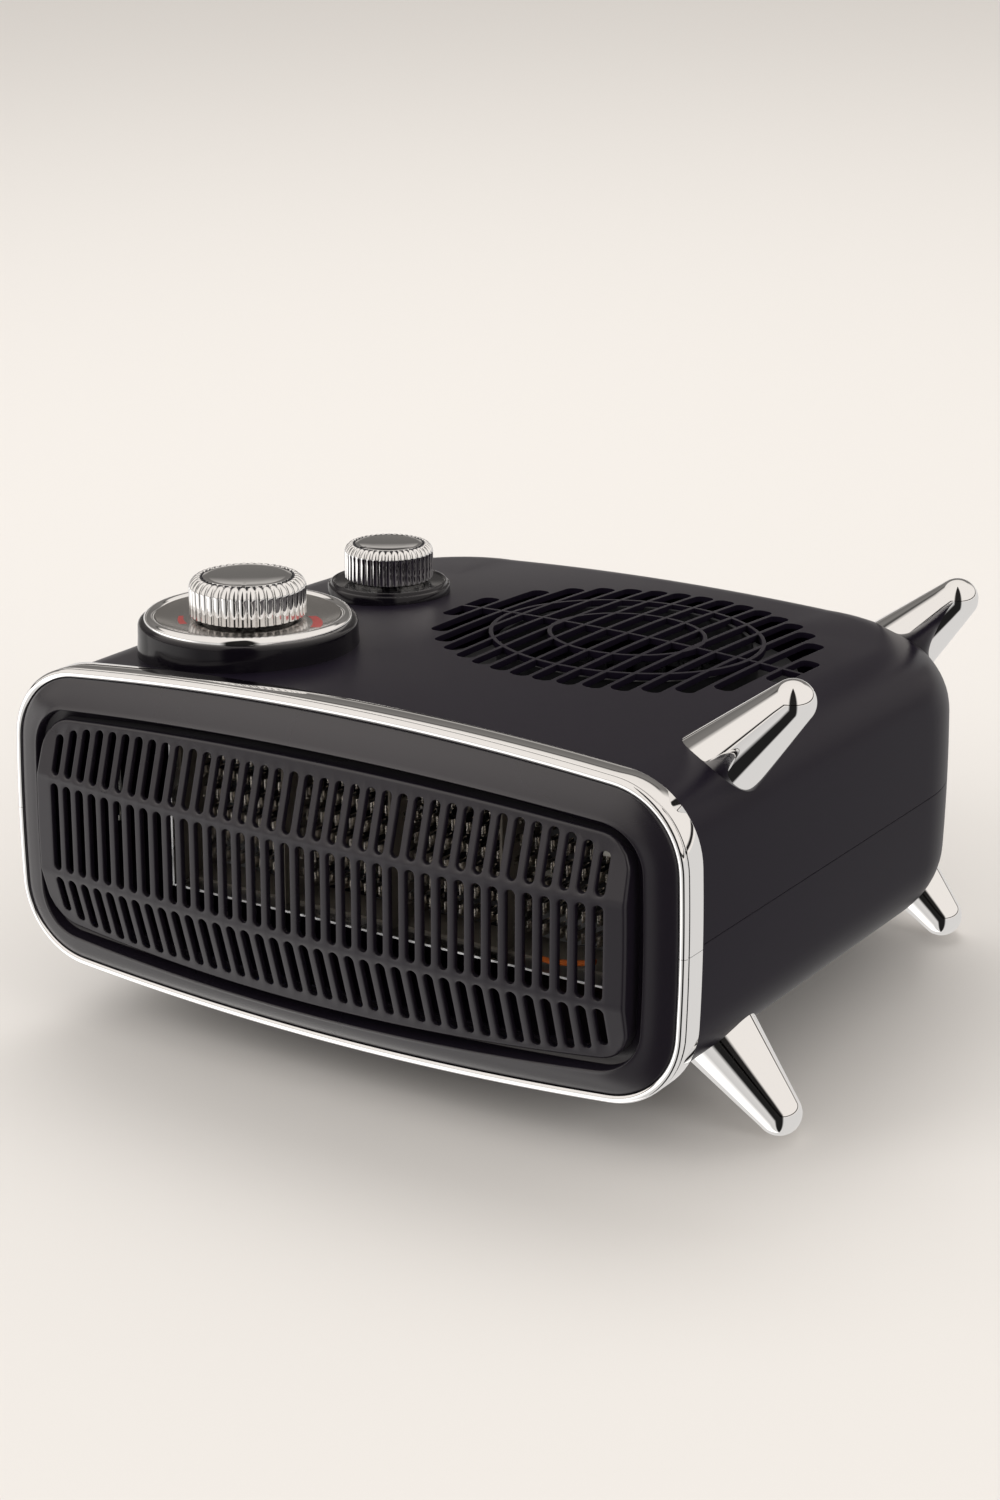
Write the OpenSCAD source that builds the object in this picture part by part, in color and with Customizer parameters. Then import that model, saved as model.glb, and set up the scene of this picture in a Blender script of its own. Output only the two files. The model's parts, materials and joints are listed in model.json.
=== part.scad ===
// Fan heater in a low, rounded case on four splayed legs. It lies on its two lower legs
// and two stub feet, or stands on end on the four legs.
// Millimetres. X runs along the front to the right, Y runs back from the front, Z is up.
// Every piece is drawn in the level frame of the body, whose zero point is the middle of
// the front rim, and at_rest() then leans the whole back onto the floor.

/* [Body] */
// Width of the front over the rim
front_w = 300; // [280:1:320]
// Height of the front over the rim, at the middle
front_h = 132.6; // [126:0.2:140]
// How far the top and bottom edges fall from the middle to the side
bow_top = 8.6; // [5:0.2:12]
// How far the side edges draw in from the middle to the top
bow_side = 3; // [1:0.2:6]
// Radius of the front's corners
corner_r = 32.4; // [27:0.2:38]
// Depth of the case behind the front of the rim
case_back = 275; // [262:1:290]
// Radius of the upright rear corners
rear_corner_r = 85; // [60:1:95]
// Radius of the top and bottom rear edges
rear_edge_r = 32; // [20:1:45]
// Wall of the case
wall = 2.5; // [2:0.1:3]
// How far the case lies inside the rim's outline
case_step = 2; // [1.5:0.1:3]

/* [Rim] */
// Depth of the chrome rim
rim_depth = 12.3; // [9:0.1:16]
// Wall of the rim's side band
rim_wall = 1.8; // [1.2:0.1:1.9]
// Width of the rim's front lip
rim_lip = 3.2; // [2.6:0.1:4]
// Thickness of the rim's front lip
rim_bead = 1.8; // [1:0.1:2.5]

/* [Bezel] */
// Width of the border from the rim's outline to the recess
bezel_border = 14.8; // [12:0.2:18]
// How far the recess's lip stands in front of the rim
bezel_rise = 7.5; // [4:0.1:8.5]
// Wall of the bezel
bezel_wall = 2.2; // [1.6:0.1:3]
// Width of the groove round the grille panel
groove_w = 3.7; // [2:0.1:5]

/* [Outlet grille] */
// How far the middle of the panel stands in front of the rim
grille_rise = 18; // [15:0.5:20]
// Radius of the panel's sideways curve
grille_curve_r = 1064; // [900:4:1300]
// Lean of the upper and lower rows from upright, in degrees
row_lean = 16.7; // [12:0.1:19]
// Height of the middle of the bar between two rows
bar_z = 19.2; // [16:0.1:21]
// Width of the bars between rows
bar_h = 3.1; // [2.4:0.1:4]
// Wall of the panel
grille_wall = 2.4; // [1.8:0.1:3]
// Columns of slots
slot_columns = 37; // [21:2:37]
// Distance from column to column
slot_pitch = 6.73; // [6.2:0.01:6.9]
// Width of a slot
slot_w = 3.9; // [3:0.1:4.4]
// Distance from the slotted field to the panel's edge, at the middle
field_margin = 4.8; // [4:0.1:8]
// How far inside the front's width the slotted field's outline would close
field_side = 20; // [18:0.5:22]

/* [Intake grille] */
// Place of the intake's centre along the front
intake_x = 37.4; // [30:0.1:42]
// Place of the intake's centre behind the front
intake_y = 152.3; // [146:0.1:158]
// Radius of the intake's opening
intake_r = 75.5; // [70:0.5:78]
// Distance between the straight ribs
intake_pitch = 9.8; // [8:0.1:12]
// Width of the straight ribs
intake_rib = 1.6; // [1.2:0.1:2.4]
// Radius of the inner ring rib
ring_small_r = 30.8; // [26:0.2:36]
// Radius of the outer ring rib
ring_large_r = 54; // [48:0.2:60]
// Height of the ribs
rib_h = 3; // [2:0.1:4]
// How far the ribs lie below the case's surface
rib_sink = 0.8; // [0.4:0.1:1.2]

/* [Controls] */
// Place of both controls along the front, left of the middle
control_x = 81; // [78:0.5:86]
// Place of the thermostat behind the front
dial_y = 61.4; // [58:0.2:66]
// Place of the function switch behind the front
switch_y = 158.5; // [152:0.5:164]
// Radius of the thermostat's collar
dial_collar_r = 42; // [41:0.5:44]
// Height of the thermostat collar's top above the front's crown
dial_collar_rise = 6.7; // [4.7:0.1:9.7]
// Outer radius of the chrome dial ring
dial_ring_r = 39.5; // [38.5:0.1:40.5]
// Width of the chrome dial ring
dial_ring_w = 3.6; // [2.5:0.1:4.5]
// Height of the chrome dial ring
dial_ring_h = 2.2; // [1.5:0.1:3]
// Radius of the thermostat knob over its flutes
dial_knob_r = 22.9; // [21:0.1:24]
// Height of the thermostat knob
dial_knob_h = 16.2; // [14:0.1:19]
// Radius of the function collar
switch_collar_r = 25.5; // [24:0.5:28]
// Height of the function collar's top above the front's crown
switch_collar_rise = 0.6; // [-0.2:0.1:2.6]
// Radius of the function knob over its flutes
switch_knob_r = 18.4; // [17:0.1:20]
// Height of the function knob
switch_knob_h = 15.6; // [13:0.1:18]
// Flutes round each knob
flutes = 40; // [24:1:48]
// Wall of the knobs
knob_wall = 2.5; // [1.8:0.1:3]
// Radius of the control spindles
spindle_r = 3; // [2.5:0.1:3.5]
// Wall of the collars
collar_wall = 2.5; // [2:0.1:3]
// Width of the thermostat's housing
thermostat_w = 28; // [24:1:34]
// Width of the function switch's housing
switch_w = 24; // [20:1:30]
// Height of both housings
control_body_h = 9.6; // [8:0.2:9.8]

/* [Legs] */
// Place of the front leg tips along the front
leg_front_x = 157.5; // [154:0.5:162]
// Place of the front leg tips behind the front
leg_front_y = 59.8; // [54:0.2:66]
// How far the front leg tips' centres stand above the front's crown
leg_front_reach = 12; // [9.7:0.1:15.7]
// Place of the rear leg tips along the front
leg_rear_x = 134; // [131:0.5:140]
// Place of the rear leg tips behind the front
leg_rear_y = 252; // [244:0.5:256]
// How far the rear leg tips' centres stand above the front's crown
leg_rear_reach = 2.3; // [0.7:0.1:5.7]
// Radius of a leg's tip
leg_tip_r = 8.5; // [7:0.1:9.5]
// Growth of a leg's radius for each millimetre from the tip
leg_flare = 0.176; // [0.12:0.002:0.2]
// Radius of the shank of a leg screw
leg_screw_r = 1.8; // [1.5:0.05:2.2]

/* [Stub feet] */
// Place of the stub feet along the front, left of the middle
foot_x = 108; // [100:1:114]
// Place of the front stub foot behind the front
foot_front_y = 78; // [72:1:86]
// Place of the rear stub foot behind the front
foot_rear_y = 218; // [205:1:224]
// Radius of a stub foot
foot_r = 11; // [9:0.5:13]
// Radius of the rubber pad
pad_r = 8.5; // [6:0.5:8.8]
// Thickness of the rubber pad
pad_h = 3.5; // [2.5:0.1:4.5]

/* [Fan] */
// Radius of the impeller
impeller_r = 58; // [54:0.5:60]
// Radius inside the impeller's blades
impeller_eye_r = 46; // [42:0.5:48]
// Distance from the blades' upper ends to the fan duct's top
blade_drop = 9; // [7:0.5:15]
// Blades round the impeller
blades = 36; // [24:1:40]
// Thickness of a blade
blade_t = 1; // [0.8:0.1:1.4]
// Radius of the fan duct's round end
scroll_r = 68; // [66:0.5:72]
// Wall of the fan duct
scroll_wall = 2; // [1.6:0.1:2.6]
// Height of the underside of the fan duct's floor above the case's lowest line
scroll_floor_lift = 45.3; // [44:0.1:47]
// Distance of the duct's top below the front's crown
scroll_top_drop = 20.3; // [19.3:0.1:22.3]
// Distance of the duct's mouth behind the front
duct_mouth_y = 62; // [58:0.5:66]
// Left end of the outlet, left of the middle
outlet_left = 79; // [76:0.5:82]
// Right end of the outlet, right of the middle
outlet_right = 117; // [114:0.5:120]
// Radius of the motor shaft
shaft_r = 2.5; // [2:0.1:3]
// Running gap round each turning shaft
running_gap = 0.05; // [0.03:0.01:0.08]
// Radius of the motor's rotor
rotor_r = 14; // [12:0.5:15]
// Height of the laminated stator stack
stack_h = 16; // [12:0.5:16]
// Width of the stator stack
stack_w = 60; // [56:1:66]
// Depth of the stator stack round the rotor
stack_d = 48; // [46:1:54]
// Half the spacing of the two motor screws
motor_screw_x = 23; // [21:0.5:24]

/* [Heater] */
// Wall of the sheet-metal outlet duct
sheet = 0.8; // [0.6:0.1:1.2]
// Distance of the outlet duct's front edge behind the front
guard_y = 7; // [5:0.5:10]
// Distance of the mica boards' front edges behind the front
mica_y = 12; // [11:0.5:16]
// Depth of the mica boards
mica_d = 26; // [22:0.5:30]
// Thickness of the mica boards
mica_t = 1; // [0.8:0.1:1.5]
// Rows of heating ribbon
ribbon_rows = 7; // [5:1:8]
// Length of one fold of the ribbon
ribbon_fold = 5.2; // [4.6:0.1:7]
// Half depth of the ribbon's folds
ribbon_swing = 4; // [3:0.1:5]
// Height of the ribbon
ribbon_h = 2.6; // [2:0.1:3]
// Thickness of the ribbon, along the folds
ribbon_t = 0.8; // [0.5:0.1:1]
// Radius of the inner leads
lead_r = 1.2; // [0.9:0.1:1.4]

/* [Hidden] */
$fn = 96;
arc_fn = 720;

// Colours
black_plastic = [0.09, 0.085, 0.1];
deep_black = [0.05, 0.05, 0.055];
chrome = [0.82, 0.83, 0.85];
silver = [0.68, 0.68, 0.7];
rubber = [0.12, 0.12, 0.12];
steel = [0.6, 0.61, 0.63];
mica = [0.76, 0.68, 0.5];
copper = [0.72, 0.42, 0.2];
ceramic = [0.92, 0.91, 0.86];

// Arcs of the front outline
top_arc_r = (pow(front_w / 2, 2) + pow(bow_top, 2)) / (2 * bow_top);
side_arc_r = (pow(front_h / 2, 2) + pow(bow_side, 2)) / (2 * bow_side);
top_arc_c = [0, front_h / 2 - top_arc_r];
side_arc_c = [front_w / 2 - side_arc_r, 0];
corner_c = circles_meet(top_arc_c, top_arc_r - corner_r, side_arc_c, side_arc_r - corner_r);

// Half height of the front at its middle, and a length that passes through everything
crown = front_h / 2;
far = 2 * front_w;

leg_front_z = crown + leg_front_reach;
leg_rear_z = crown + leg_rear_reach;

// The lean that brings both lower leg tips to the floor
lean = atan((leg_front_z - leg_rear_z) / (leg_rear_y - leg_front_y));
floor_drop = leg_front_y * sin(lean) + leg_front_z * cos(lean) + leg_tip_r;
middle_x = (leg_front_x + leg_tip_r - front_w / 2) / 2;
middle_y = (case_back - grille_rise) / 2;

// Places along the case
case_front = rim_depth;
neck_front = 4;
fit_gap = 0.15;
ledge_t = 2.4;
ledge_front = 0;
panel_inset = bezel_border + groove_w;

// Grille panel
field_h = crown - panel_inset - field_margin;
field_a = front_w / 2 - field_side;
field_power = 6;
panel_depth = 20;

// Controls
bush_r = 5;
collar_step = 1.2;
dial_face_r = dial_ring_r - dial_ring_w - fit_gap;
dial_face_h = 1.6;
dial_dish_h = 0.7;
knob_shoulder = 0.3;
flute_share = 0.62;
knob_float = 0.5;
spindle_gap = 1.2;
notch_w = 1.6;
notch_depth = 0.6;
dial_collar_z = crown + dial_collar_rise;
switch_collar_z = crown + switch_collar_rise;
dial_knob_z = dial_collar_z + dial_dish_h + knob_float;
switch_knob_z = switch_collar_z + knob_float;
control_body_drop = 8.3;
control_body_top = crown - control_body_drop;
spindle_depth = 7;
spindle_foot = control_body_top - spindle_depth;

// Case screws
case_screw_r = 1.5;
case_screw_head_r = 3.4;
case_screw_head_h = 2.2;
case_boss_r = 5.5;
case_screw_seat = -8;
case_screw_reach = 12;
case_screw_places = [[-126, 34], [126, 100], [-118, 185], [72, 252]];

// Leg bosses and screws
leg_boss_r = 6.5;
leg_seat_front = 44;
leg_seat_rear = 36;
leg_screw_reach = 28;
leg_screw_head_r = 3.8;
leg_screw_head_h = 2.4;
leg_cone_h = 60;

// Stub feet
foot_peg_r = 4;
foot_shell = 1.5;

// Cable gland in the rear wall
gland_x = -50;
gland_z = -20;
gland_r = 6;
gland_bore_r = 3.4;
gland_lip = 2.5;
seat_gap = 0.05;

// Places of the inner parts
scroll_floor_z = scroll_floor_lift - crown;
scroll_top_z = crown - scroll_top_drop;
scroll_floor_top = scroll_floor_z + scroll_wall;
impeller_lift = 4;
impeller_floor = scroll_floor_top + impeller_lift;
impeller_disc_t = 2;
blade_h = scroll_top_z - impeller_floor - blade_drop;
blade_turn = 35;
hub_r = 8;
hub_h = 14;
inlet_r = 50;
inlet_wall = 1.8;
inlet_plate = 1.6;
shaft_hole_r = 9;

// Posts that carry the fan duct, and their screws
post_r = 5;
post_places = [[-6, 195], [81, 195], [-62, 78], [106, 78]];
duct_screw_r = 1.5;
duct_screw_reach = 12;
small_head_r = 3.2;
small_head_h = 1.8;

// Shaded-pole motor under the fan duct
motor_drop = 12;
outlet_bottom = scroll_floor_z;
outlet_top = scroll_top_z;
outlet_x0 = -outlet_left;
outlet_x1 = outlet_right;
mica_bottom = outlet_bottom + sheet;
mica_top = outlet_top - sheet;
stack_top = scroll_floor_z - motor_drop;
stack_bottom = stack_top - stack_h;
bridge_t = 3;
bridge_gap = 5;
bridge_pad_r = 4;
bridge_hub_r = 7;
shaft_top = impeller_floor + hub_h + 2;
shaft_bottom = stack_bottom - bridge_gap - bridge_t - 1;
rotor_proud = 1;
air_gap = 0.4;
coil_room = 16;
limb_w = 22;
window_w = 11;
window_front = -stack_d / 2 - coil_room + 12;
coil_w = limb_w + 2 * window_w - 4;
coil_d = 12.4;
coil_end = 8;
motor_screw_r = 1.6;
screw_gap = 0.1;

// Heating element
mica_boards = 5;
mica_x0 = outlet_x0 + sheet;
mica_x1 = outlet_x1 - sheet;
ribbon_y = mica_y + mica_d / 2;
ribbon_pitch_z = (mica_top - mica_bottom) / (ribbon_rows + 1);
ribbon_end = 2.5;
cutout_r = 7;
cutout_h = 5;
cutout_lug = 10;
fuse_r = 2.2;
fuse_l = 16;
block_w = 9;
block_h = 17;
block_d = 6;

// Corner easing lets a corner's arc cross its neighbours at a slight angle
corner_ease = 0.04;

// Round wires swept through hand-placed points
wire_sides = 8;
lead_floor = scroll_floor_z - 3.5;
lead_top = control_body_top - control_body_h - 0.8;
lead_blue_points = [
    [gland_x - 1.5, case_back - 3, gland_z], [gland_x - 2, case_back - 23, gland_z - 6], [-76, 224, -37],
    [-104, 190, -38], [-104, 110, -36], [-92, 40, lead_floor - 3.5], [-60, 24, lead_floor - 0.5],
    [20, 22, lead_floor], [70, 24, lead_floor], [92, 30, lead_floor], [95, 31.2, lead_floor + 0.9],
    [95.6, 31.4, scroll_floor_z - 0.4]
];
lead_brown_points = [
    [gland_x + 1.5, case_back - 3, gland_z], [gland_x, case_back - 27, gland_z + 4], [-72, 212, -6],
    [-84, 174, 24], [-84, 163, lead_top]
];
lead_orange_points = [[-78, 155, lead_top], [-84, 140, 26], [-90, 104, 12], [-88, 70, 26], [-86, 62, lead_top + 0.4]];

function unit(v) = v / norm(v);
function left_of(v) = [-v.y, v.x];

// Centre that lies r1 from c1 and r2 from c2, on the upper right
function circles_meet(c1, r1, c2, r2) =
    let (d = norm(c2 - c1), e = (c2 - c1) / d, t = (r1 * r1 - r2 * r2 + d * d) / (2 * d),
         h = sqrt(r1 * r1 - t * t), a = c1 + t * e + h * left_of(e), b = c1 + t * e - h * left_of(e))
    a.x + a.y > b.x + b.y ? a : b;

// Half height of the case's own surface over a place along the front
function case_top(x) = top_arc_c.y + sqrt(pow(top_arc_r - case_step, 2) - x * x);

module at_rest() {
    translate([-middle_x, -middle_y, floor_drop]) rotate([-lean, 0, 0]) children();
}

module along_depth(from, to) {
    translate([0, to, 0]) rotate([90, 0, 0]) linear_extrude(to - from) children();
}

module disc(c, r) {
    translate(c) circle(r, $fn = arc_fn);
}

// The front outline, drawn in by an inset: four shallow arcs and four corner arcs
module section(inset) {
    reach = 3 * corner_r;
    a = corner_c + reach * unit(corner_c - top_arc_c);
    b = corner_c + reach * unit(corner_c - side_arc_c);
    difference() {
        intersection() {
            disc(top_arc_c, top_arc_r - inset);
            disc(-top_arc_c, top_arc_r - inset);
            disc(side_arc_c, side_arc_r - inset);
            disc(-side_arc_c, side_arc_r - inset);
        }
        for (s = [0, 1], t = [0, 1]) mirror([s, 0]) mirror([0, t]) difference() {
            polygon([corner_c, a, a + b - corner_c, b]);
            translate(corner_c) circle(corner_r - inset + corner_ease);
        }
    }
}

// A strip of a given half width that ends in two round corners
module round_end(half, r, end) {
    translate([-half, -far]) square([2 * half, end - r + far]);
    translate([-(half - r), 0]) square([2 * (half - r), end]);
    for (s = [0, 1]) mirror([s, 0]) intersection() {
        translate([half - r, end - r]) circle(r);
        translate([half - r, end - r]) square(r + 1);
    }
}

// The case's outer form, drawn in by an inset, from a given place back
module body_form(inset, from) {
    half_w = front_w / 2 - case_step - inset;
    half_h = front_h / 2 - case_step - inset;
    intersection() {
        along_depth(from, case_back) section(case_step + inset);
        linear_extrude(far, center = true)
            round_end(half_w, rear_corner_r - inset, case_back - inset);
        rotate([0, 90, 0]) linear_extrude(far, center = true)
            round_end(half_h, rear_edge_r - inset, case_back - inset);
    }
}

module upper_half() {
    intersection() {
        children();
        translate([-far, -far, 0]) cube(2 * far);
    }
}

module lower_half() {
    intersection() {
        children();
        translate([-far, -far, -2 * far]) cube(2 * far);
    }
}

// Walls of both halves of the case, with the neck that the rim slides over
module case_shell() {
    difference() {
        union() {
            body_form(0, case_front);
            along_depth(neck_front, case_front + 1) section(rim_wall + fit_gap);
        }
        body_form(wall, neck_front - 1);
    }
}

module at_case_screws() {
    for (p = case_screw_places) translate([p.x, p.y, 0]) children();
}

// Leg axes: the tip, and the diagonal that the leg follows
function leg_tip(front, up) = front
    ? [leg_front_x, leg_front_y, up * leg_front_z]
    : [leg_rear_x, leg_rear_y, up * leg_rear_z];

// Draws along a leg's axis, with zero at the tip's centre and +Z into the case
module on_leg(front, up) {
    translate(leg_tip(front, up)) rotate([0, up > 0 ? -135 : -45, 0]) children();
}

function leg_seat(front) = front ? leg_seat_front : leg_seat_rear;

module leg_boss(front, up) {
    intersection() {
        on_leg(front, up) cylinder(r = leg_boss_r, h = leg_seat(front));
        body_form(0.4, case_front);
    }
}

module leg_screw_hole(front, up) {
    on_leg(front, up) translate([0, 0, 5]) cylinder(r = leg_screw_r + 0.3, h = far);
}

// Straight ribs, two ring ribs and the cross rib of the intake
module intake_ribs() {
    intersection() {
        difference() {
            body_form(rib_sink, case_front);
            body_form(rib_sink + rib_h, case_front);
        }
        at_shaft() intersection() {
            cylinder(r = intake_r + 0.5, h = far);
            union() {
                for (x = [-8 : 8]) translate([x * intake_pitch - intake_rib / 2, -far / 2, 0]) cube([intake_rib, far, far]);
                translate([-far / 2, -intake_rib / 2, 0]) cube([far, intake_rib, far]);
                for (r = [ring_small_r, ring_large_r]) difference() {
                    cylinder(r = r + intake_rib / 2, h = far);
                    translate([0, 0, -1]) cylinder(r = r - intake_rib / 2, h = far + 2);
                }
            }
        }
    }
}

module upper_case() {
    color(black_plastic) {
        difference() {
            union() {
                upper_half() case_shell();
                intersection() {
                    at_case_screws() cylinder(r = case_boss_r, h = far);
                    body_form(0.4, case_front);
                }
                leg_boss(true, 1);
                leg_boss(false, 1);
            }
            at_shaft() translate([0, 0, wall]) cylinder(r = intake_r, h = far);
            at_case_screws() translate([0, 0, -1]) cylinder(r = case_screw_r + 0.05, h = case_screw_reach + 3);
            leg_screw_hole(true, 1);
            leg_screw_hole(false, 1);
            translate([-control_x, dial_y, 0]) cylinder(r = bush_r + fit_gap, h = far);
            translate([-control_x, switch_y, 0]) cylinder(r = bush_r + fit_gap, h = far);
        }
        intake_ribs();
    }
}

module at_posts() {
    for (p = post_places) translate([p.x, p.y, 0]) children();
}

module lower_case() {
    color(black_plastic) difference() {
        union() {
            lower_half() case_shell();
            intersection() {
                union() {
                    at_case_screws() translate([0, 0, -far]) cylinder(r = case_boss_r, h = far);
                    at_posts() translate([0, 0, scroll_floor_z - far]) cylinder(r = post_r, h = far);
                }
                body_form(0.4, case_front);
            }
            leg_boss(true, -1);
            leg_boss(false, -1);
        }
        at_case_screws() {
            translate([0, 0, -far]) cylinder(r = case_screw_r + 0.3, h = 2 * far);
            translate([0, 0, case_screw_seat - far]) cylinder(r = case_screw_head_r + 0.4, h = far);
        }
        at_posts() translate([0, 0, scroll_floor_z - duct_screw_reach])
            cylinder(r = duct_screw_r + 0.05, h = far);
        leg_screw_hole(true, -1);
        leg_screw_hole(false, -1);
        for (y = [foot_front_y, foot_rear_y]) translate([-foot_x, y, -far]) cylinder(r = foot_peg_r + fit_gap, h = far);
        translate([gland_x, case_back - rear_edge_r, gland_z]) rotate([-90, 0, 0]) cylinder(r = gland_r + fit_gap, h = far);
    }
}

module rim() {
    difference() {
        along_depth(-0.4, rim_bead) section(0);
        along_depth(-2, rim_bead + 1) section(rim_lip);
    }
    difference() {
        along_depth(rim_bead - 0.2, rim_depth) section(0);
        along_depth(rim_bead - 1, rim_depth + 1) section(rim_wall);
    }
}

module rim_upper() {
    color(chrome) upper_half() rim();
}

module rim_lower() {
    color(chrome) lower_half() rim();
}

// The sloping ring from the rim's lip forward to the recess's lip
module bezel_slope(back, shrink) {
    hull() {
        along_depth(back, back + 0.1) section(rim_lip + fit_gap + shrink, $fn = 32);
        along_depth(shrink - bezel_rise, shrink - bezel_rise + 0.1)
            section(bezel_border - bezel_wall + shrink, $fn = 32);
    }
}

module front_bezel() {
    color(black_plastic) difference() {
        union() {
            difference() {
                bezel_slope(rim_bead + fit_gap, 0);
                along_depth(-far, 0) section(bezel_border - bezel_wall - 0.01);
            }
            along_depth(-bezel_rise, ledge_front + ledge_t) section(bezel_border - bezel_wall);
            along_depth(rim_bead + fit_gap, neck_front - fit_gap) section(rim_wall + fit_gap);
        }
        along_depth(-far, ledge_front) section(bezel_border);
        along_depth(-far, far) section(panel_inset + 3.5);
    }
}

// A solid behind the panel's curved and twice-folded face, drawn back by an inset
module dome(inset) {
    r = grille_curve_r - inset;
    fall = (front_h / 2 - bar_z) * tan(row_lean);
    back = grille_curve_r - grille_rise - panel_depth;
    translate([0, grille_curve_r - grille_rise, 0]) rotate([0, 0, -98])
        rotate_extrude(angle = 16, $fn = arc_fn)
            polygon([
                [r - fall, front_h / 2], [r, bar_z], [r, -bar_z], [r - fall, -front_h / 2],
                [back, -front_h / 2], [back, front_h / 2]
            ]);
}

module depth_disc(c, r) {
    translate([c.x, panel_depth, c.y]) rotate([90, 0, 0]) cylinder(r = r, h = 4 * panel_depth, $fn = arc_fn);
}

// The panel's solid inside its outline, from its face back to a given place
module panel_form(inset, to) {
    reach = 3 * corner_r;
    a = corner_c + reach * unit(corner_c - top_arc_c);
    b = corner_c + reach * unit(corner_c - side_arc_c);
    drawn_in = panel_inset + inset;
    difference() {
        intersection() {
            dome(inset);
            translate([1 - front_w / 2, -2 * panel_depth, 1 - front_h / 2])
                cube([front_w - 2, 2 * panel_depth + to, front_h - 2]);
            depth_disc(top_arc_c, top_arc_r - drawn_in);
            depth_disc(-top_arc_c, top_arc_r - drawn_in);
            depth_disc(side_arc_c, side_arc_r - drawn_in);
            depth_disc(-side_arc_c, side_arc_r - drawn_in);
        }
        for (s = [0, 1], t = [0, 1]) mirror([s, 0, 0]) mirror([0, 0, t]) difference() {
            along_depth(-2 * panel_depth, to + 5) polygon([corner_c, a, a + b - corner_c, b]);
            depth_disc(corner_c, corner_r - drawn_in + corner_ease);
        }
    }
}

function field_end(x) = field_h * pow(1 - pow(abs(x) / field_a, field_power), 1 / field_power);

// An upright slot with round ends, cut straight through the panel
module slot(x, from, to) {
    r = slot_w / 2;
    deep = 3 * panel_depth;
    translate([x - r, panel_depth - deep, from + r]) cube([slot_w, deep, to - from - slot_w]);
    for (z = [from + r, to - r]) translate([x, panel_depth, z]) rotate([90, 0, 0]) cylinder(r = r, h = deep, $fn = 24);
}

module outlet_grille() {
    color(black_plastic) difference() {
        panel_form(0, ledge_front);
        panel_form(grille_wall, ledge_front + 1);
        for (i = [0 : slot_columns - 1]) {
            x = (i - (slot_columns - 1) / 2) * slot_pitch;
            slot(x, -bar_z + bar_h / 2, bar_z - bar_h / 2);
            slot(x, bar_z + bar_h / 2, field_end(x));
            slot(x, -field_end(x), -bar_z - bar_h / 2);
        }
    }
}

module over_case() {
    difference() {
        children();
        body_form(0, case_front);
    }
}

module thermostat_collar() {
    color(black_plastic) over_case() translate([-control_x, dial_y, 0]) difference() {
        cylinder(r = dial_collar_r, h = dial_collar_z);
        translate([0, 0, -1]) cylinder(r = dial_collar_r - collar_wall, h = dial_collar_z + 1 - collar_wall);
        cylinder(r = bush_r + fit_gap, h = far);
    }
}

module dial_ring() {
    color(chrome) translate([-control_x, dial_y, dial_collar_z]) rotate_extrude() difference() {
        union() {
            translate([dial_ring_r - dial_ring_w, 0]) square([dial_ring_w, dial_ring_h - dial_ring_w / 4]);
            translate([dial_ring_r - dial_ring_w / 2, dial_ring_h - dial_ring_w / 2]) circle(dial_ring_w / 2);
        }
        translate([0, -dial_ring_w]) square([2 * dial_ring_r, dial_ring_w]);
    }
}

module dial_scale() {
    color(silver) translate([-control_x, dial_y, dial_collar_z]) difference() {
        rotate_extrude() polygon([
            [0, 0], [dial_face_r, 0], [dial_face_r, dial_face_h], [dial_knob_r + 1, dial_dish_h], [0, dial_dish_h]
        ]);
        translate([0, 0, -1]) cylinder(r = bush_r + fit_gap, h = far);
    }
}

// A fluted knob with a round shoulder, a flat top and a pointer notch
module fluted_knob(r, h) {
    shoulder = h * knob_shoulder;
    flute_r = PI * r / flutes * flute_share;
    core_r = r - flute_r * 0.35;
    difference() {
        union() {
            rotate_extrude() polygon([
                [0, 0], [core_r, 0],
                for (a = [0 : 15 : 90]) [core_r - shoulder * (1 - cos(a)), h - shoulder * (1 - sin(a))],
                [0, h]
            ]);
            for (i = [0 : flutes - 1]) rotate([0, 0, i * 360 / flutes])
                translate([r - flute_r, 0, 0]) cylinder(r = flute_r, h = h - shoulder, $fn = 16);
        }
        translate([0, 0, -1]) cylinder(r = spindle_r, h = h - knob_wall);
        translate([0, 0, -1]) difference() {
            cylinder(r = core_r - shoulder - knob_wall, h = h + 1 - knob_wall);
            translate([0, 0, -1]) cylinder(r = spindle_r + knob_wall, h = h + 2);
        }
        translate([-notch_w / 2, -(r - shoulder), h - notch_depth]) cube([notch_w, (r - shoulder) * 0.4, 2]);
    }
}

module thermostat_knob() {
    color(chrome) translate([-control_x, dial_y, dial_knob_z]) fluted_knob(dial_knob_r, dial_knob_h);
}

module function_knob() {
    color(chrome) translate([-control_x, switch_y, switch_knob_z]) fluted_knob(switch_knob_r, switch_knob_h);
}

module spindle(top) {
    translate([0, 0, spindle_foot]) cylinder(r = spindle_r, h = top - spindle_foot);
}

module thermostat_spindle() {
    color(steel) translate([-control_x, dial_y, 0]) spindle(dial_knob_z + dial_knob_h - knob_wall - spindle_gap);
}

module function_spindle() {
    color(steel) translate([-control_x, switch_y, 0]) spindle(switch_knob_z + switch_knob_h - knob_wall - spindle_gap);
}

// A switch housing with the threaded bush that its spindle turns in
module control_body(size, top) {
    difference() {
        union() {
            translate([-size / 2, -size / 2, control_body_top - control_body_h]) cube([size, size, control_body_h]);
            translate([0, 0, control_body_top - 1]) cylinder(r = bush_r, h = top - control_body_top + 1);
        }
        translate([0, 0, spindle_foot - 0.5]) cylinder(r = spindle_r + running_gap, h = far);
    }
}

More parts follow.
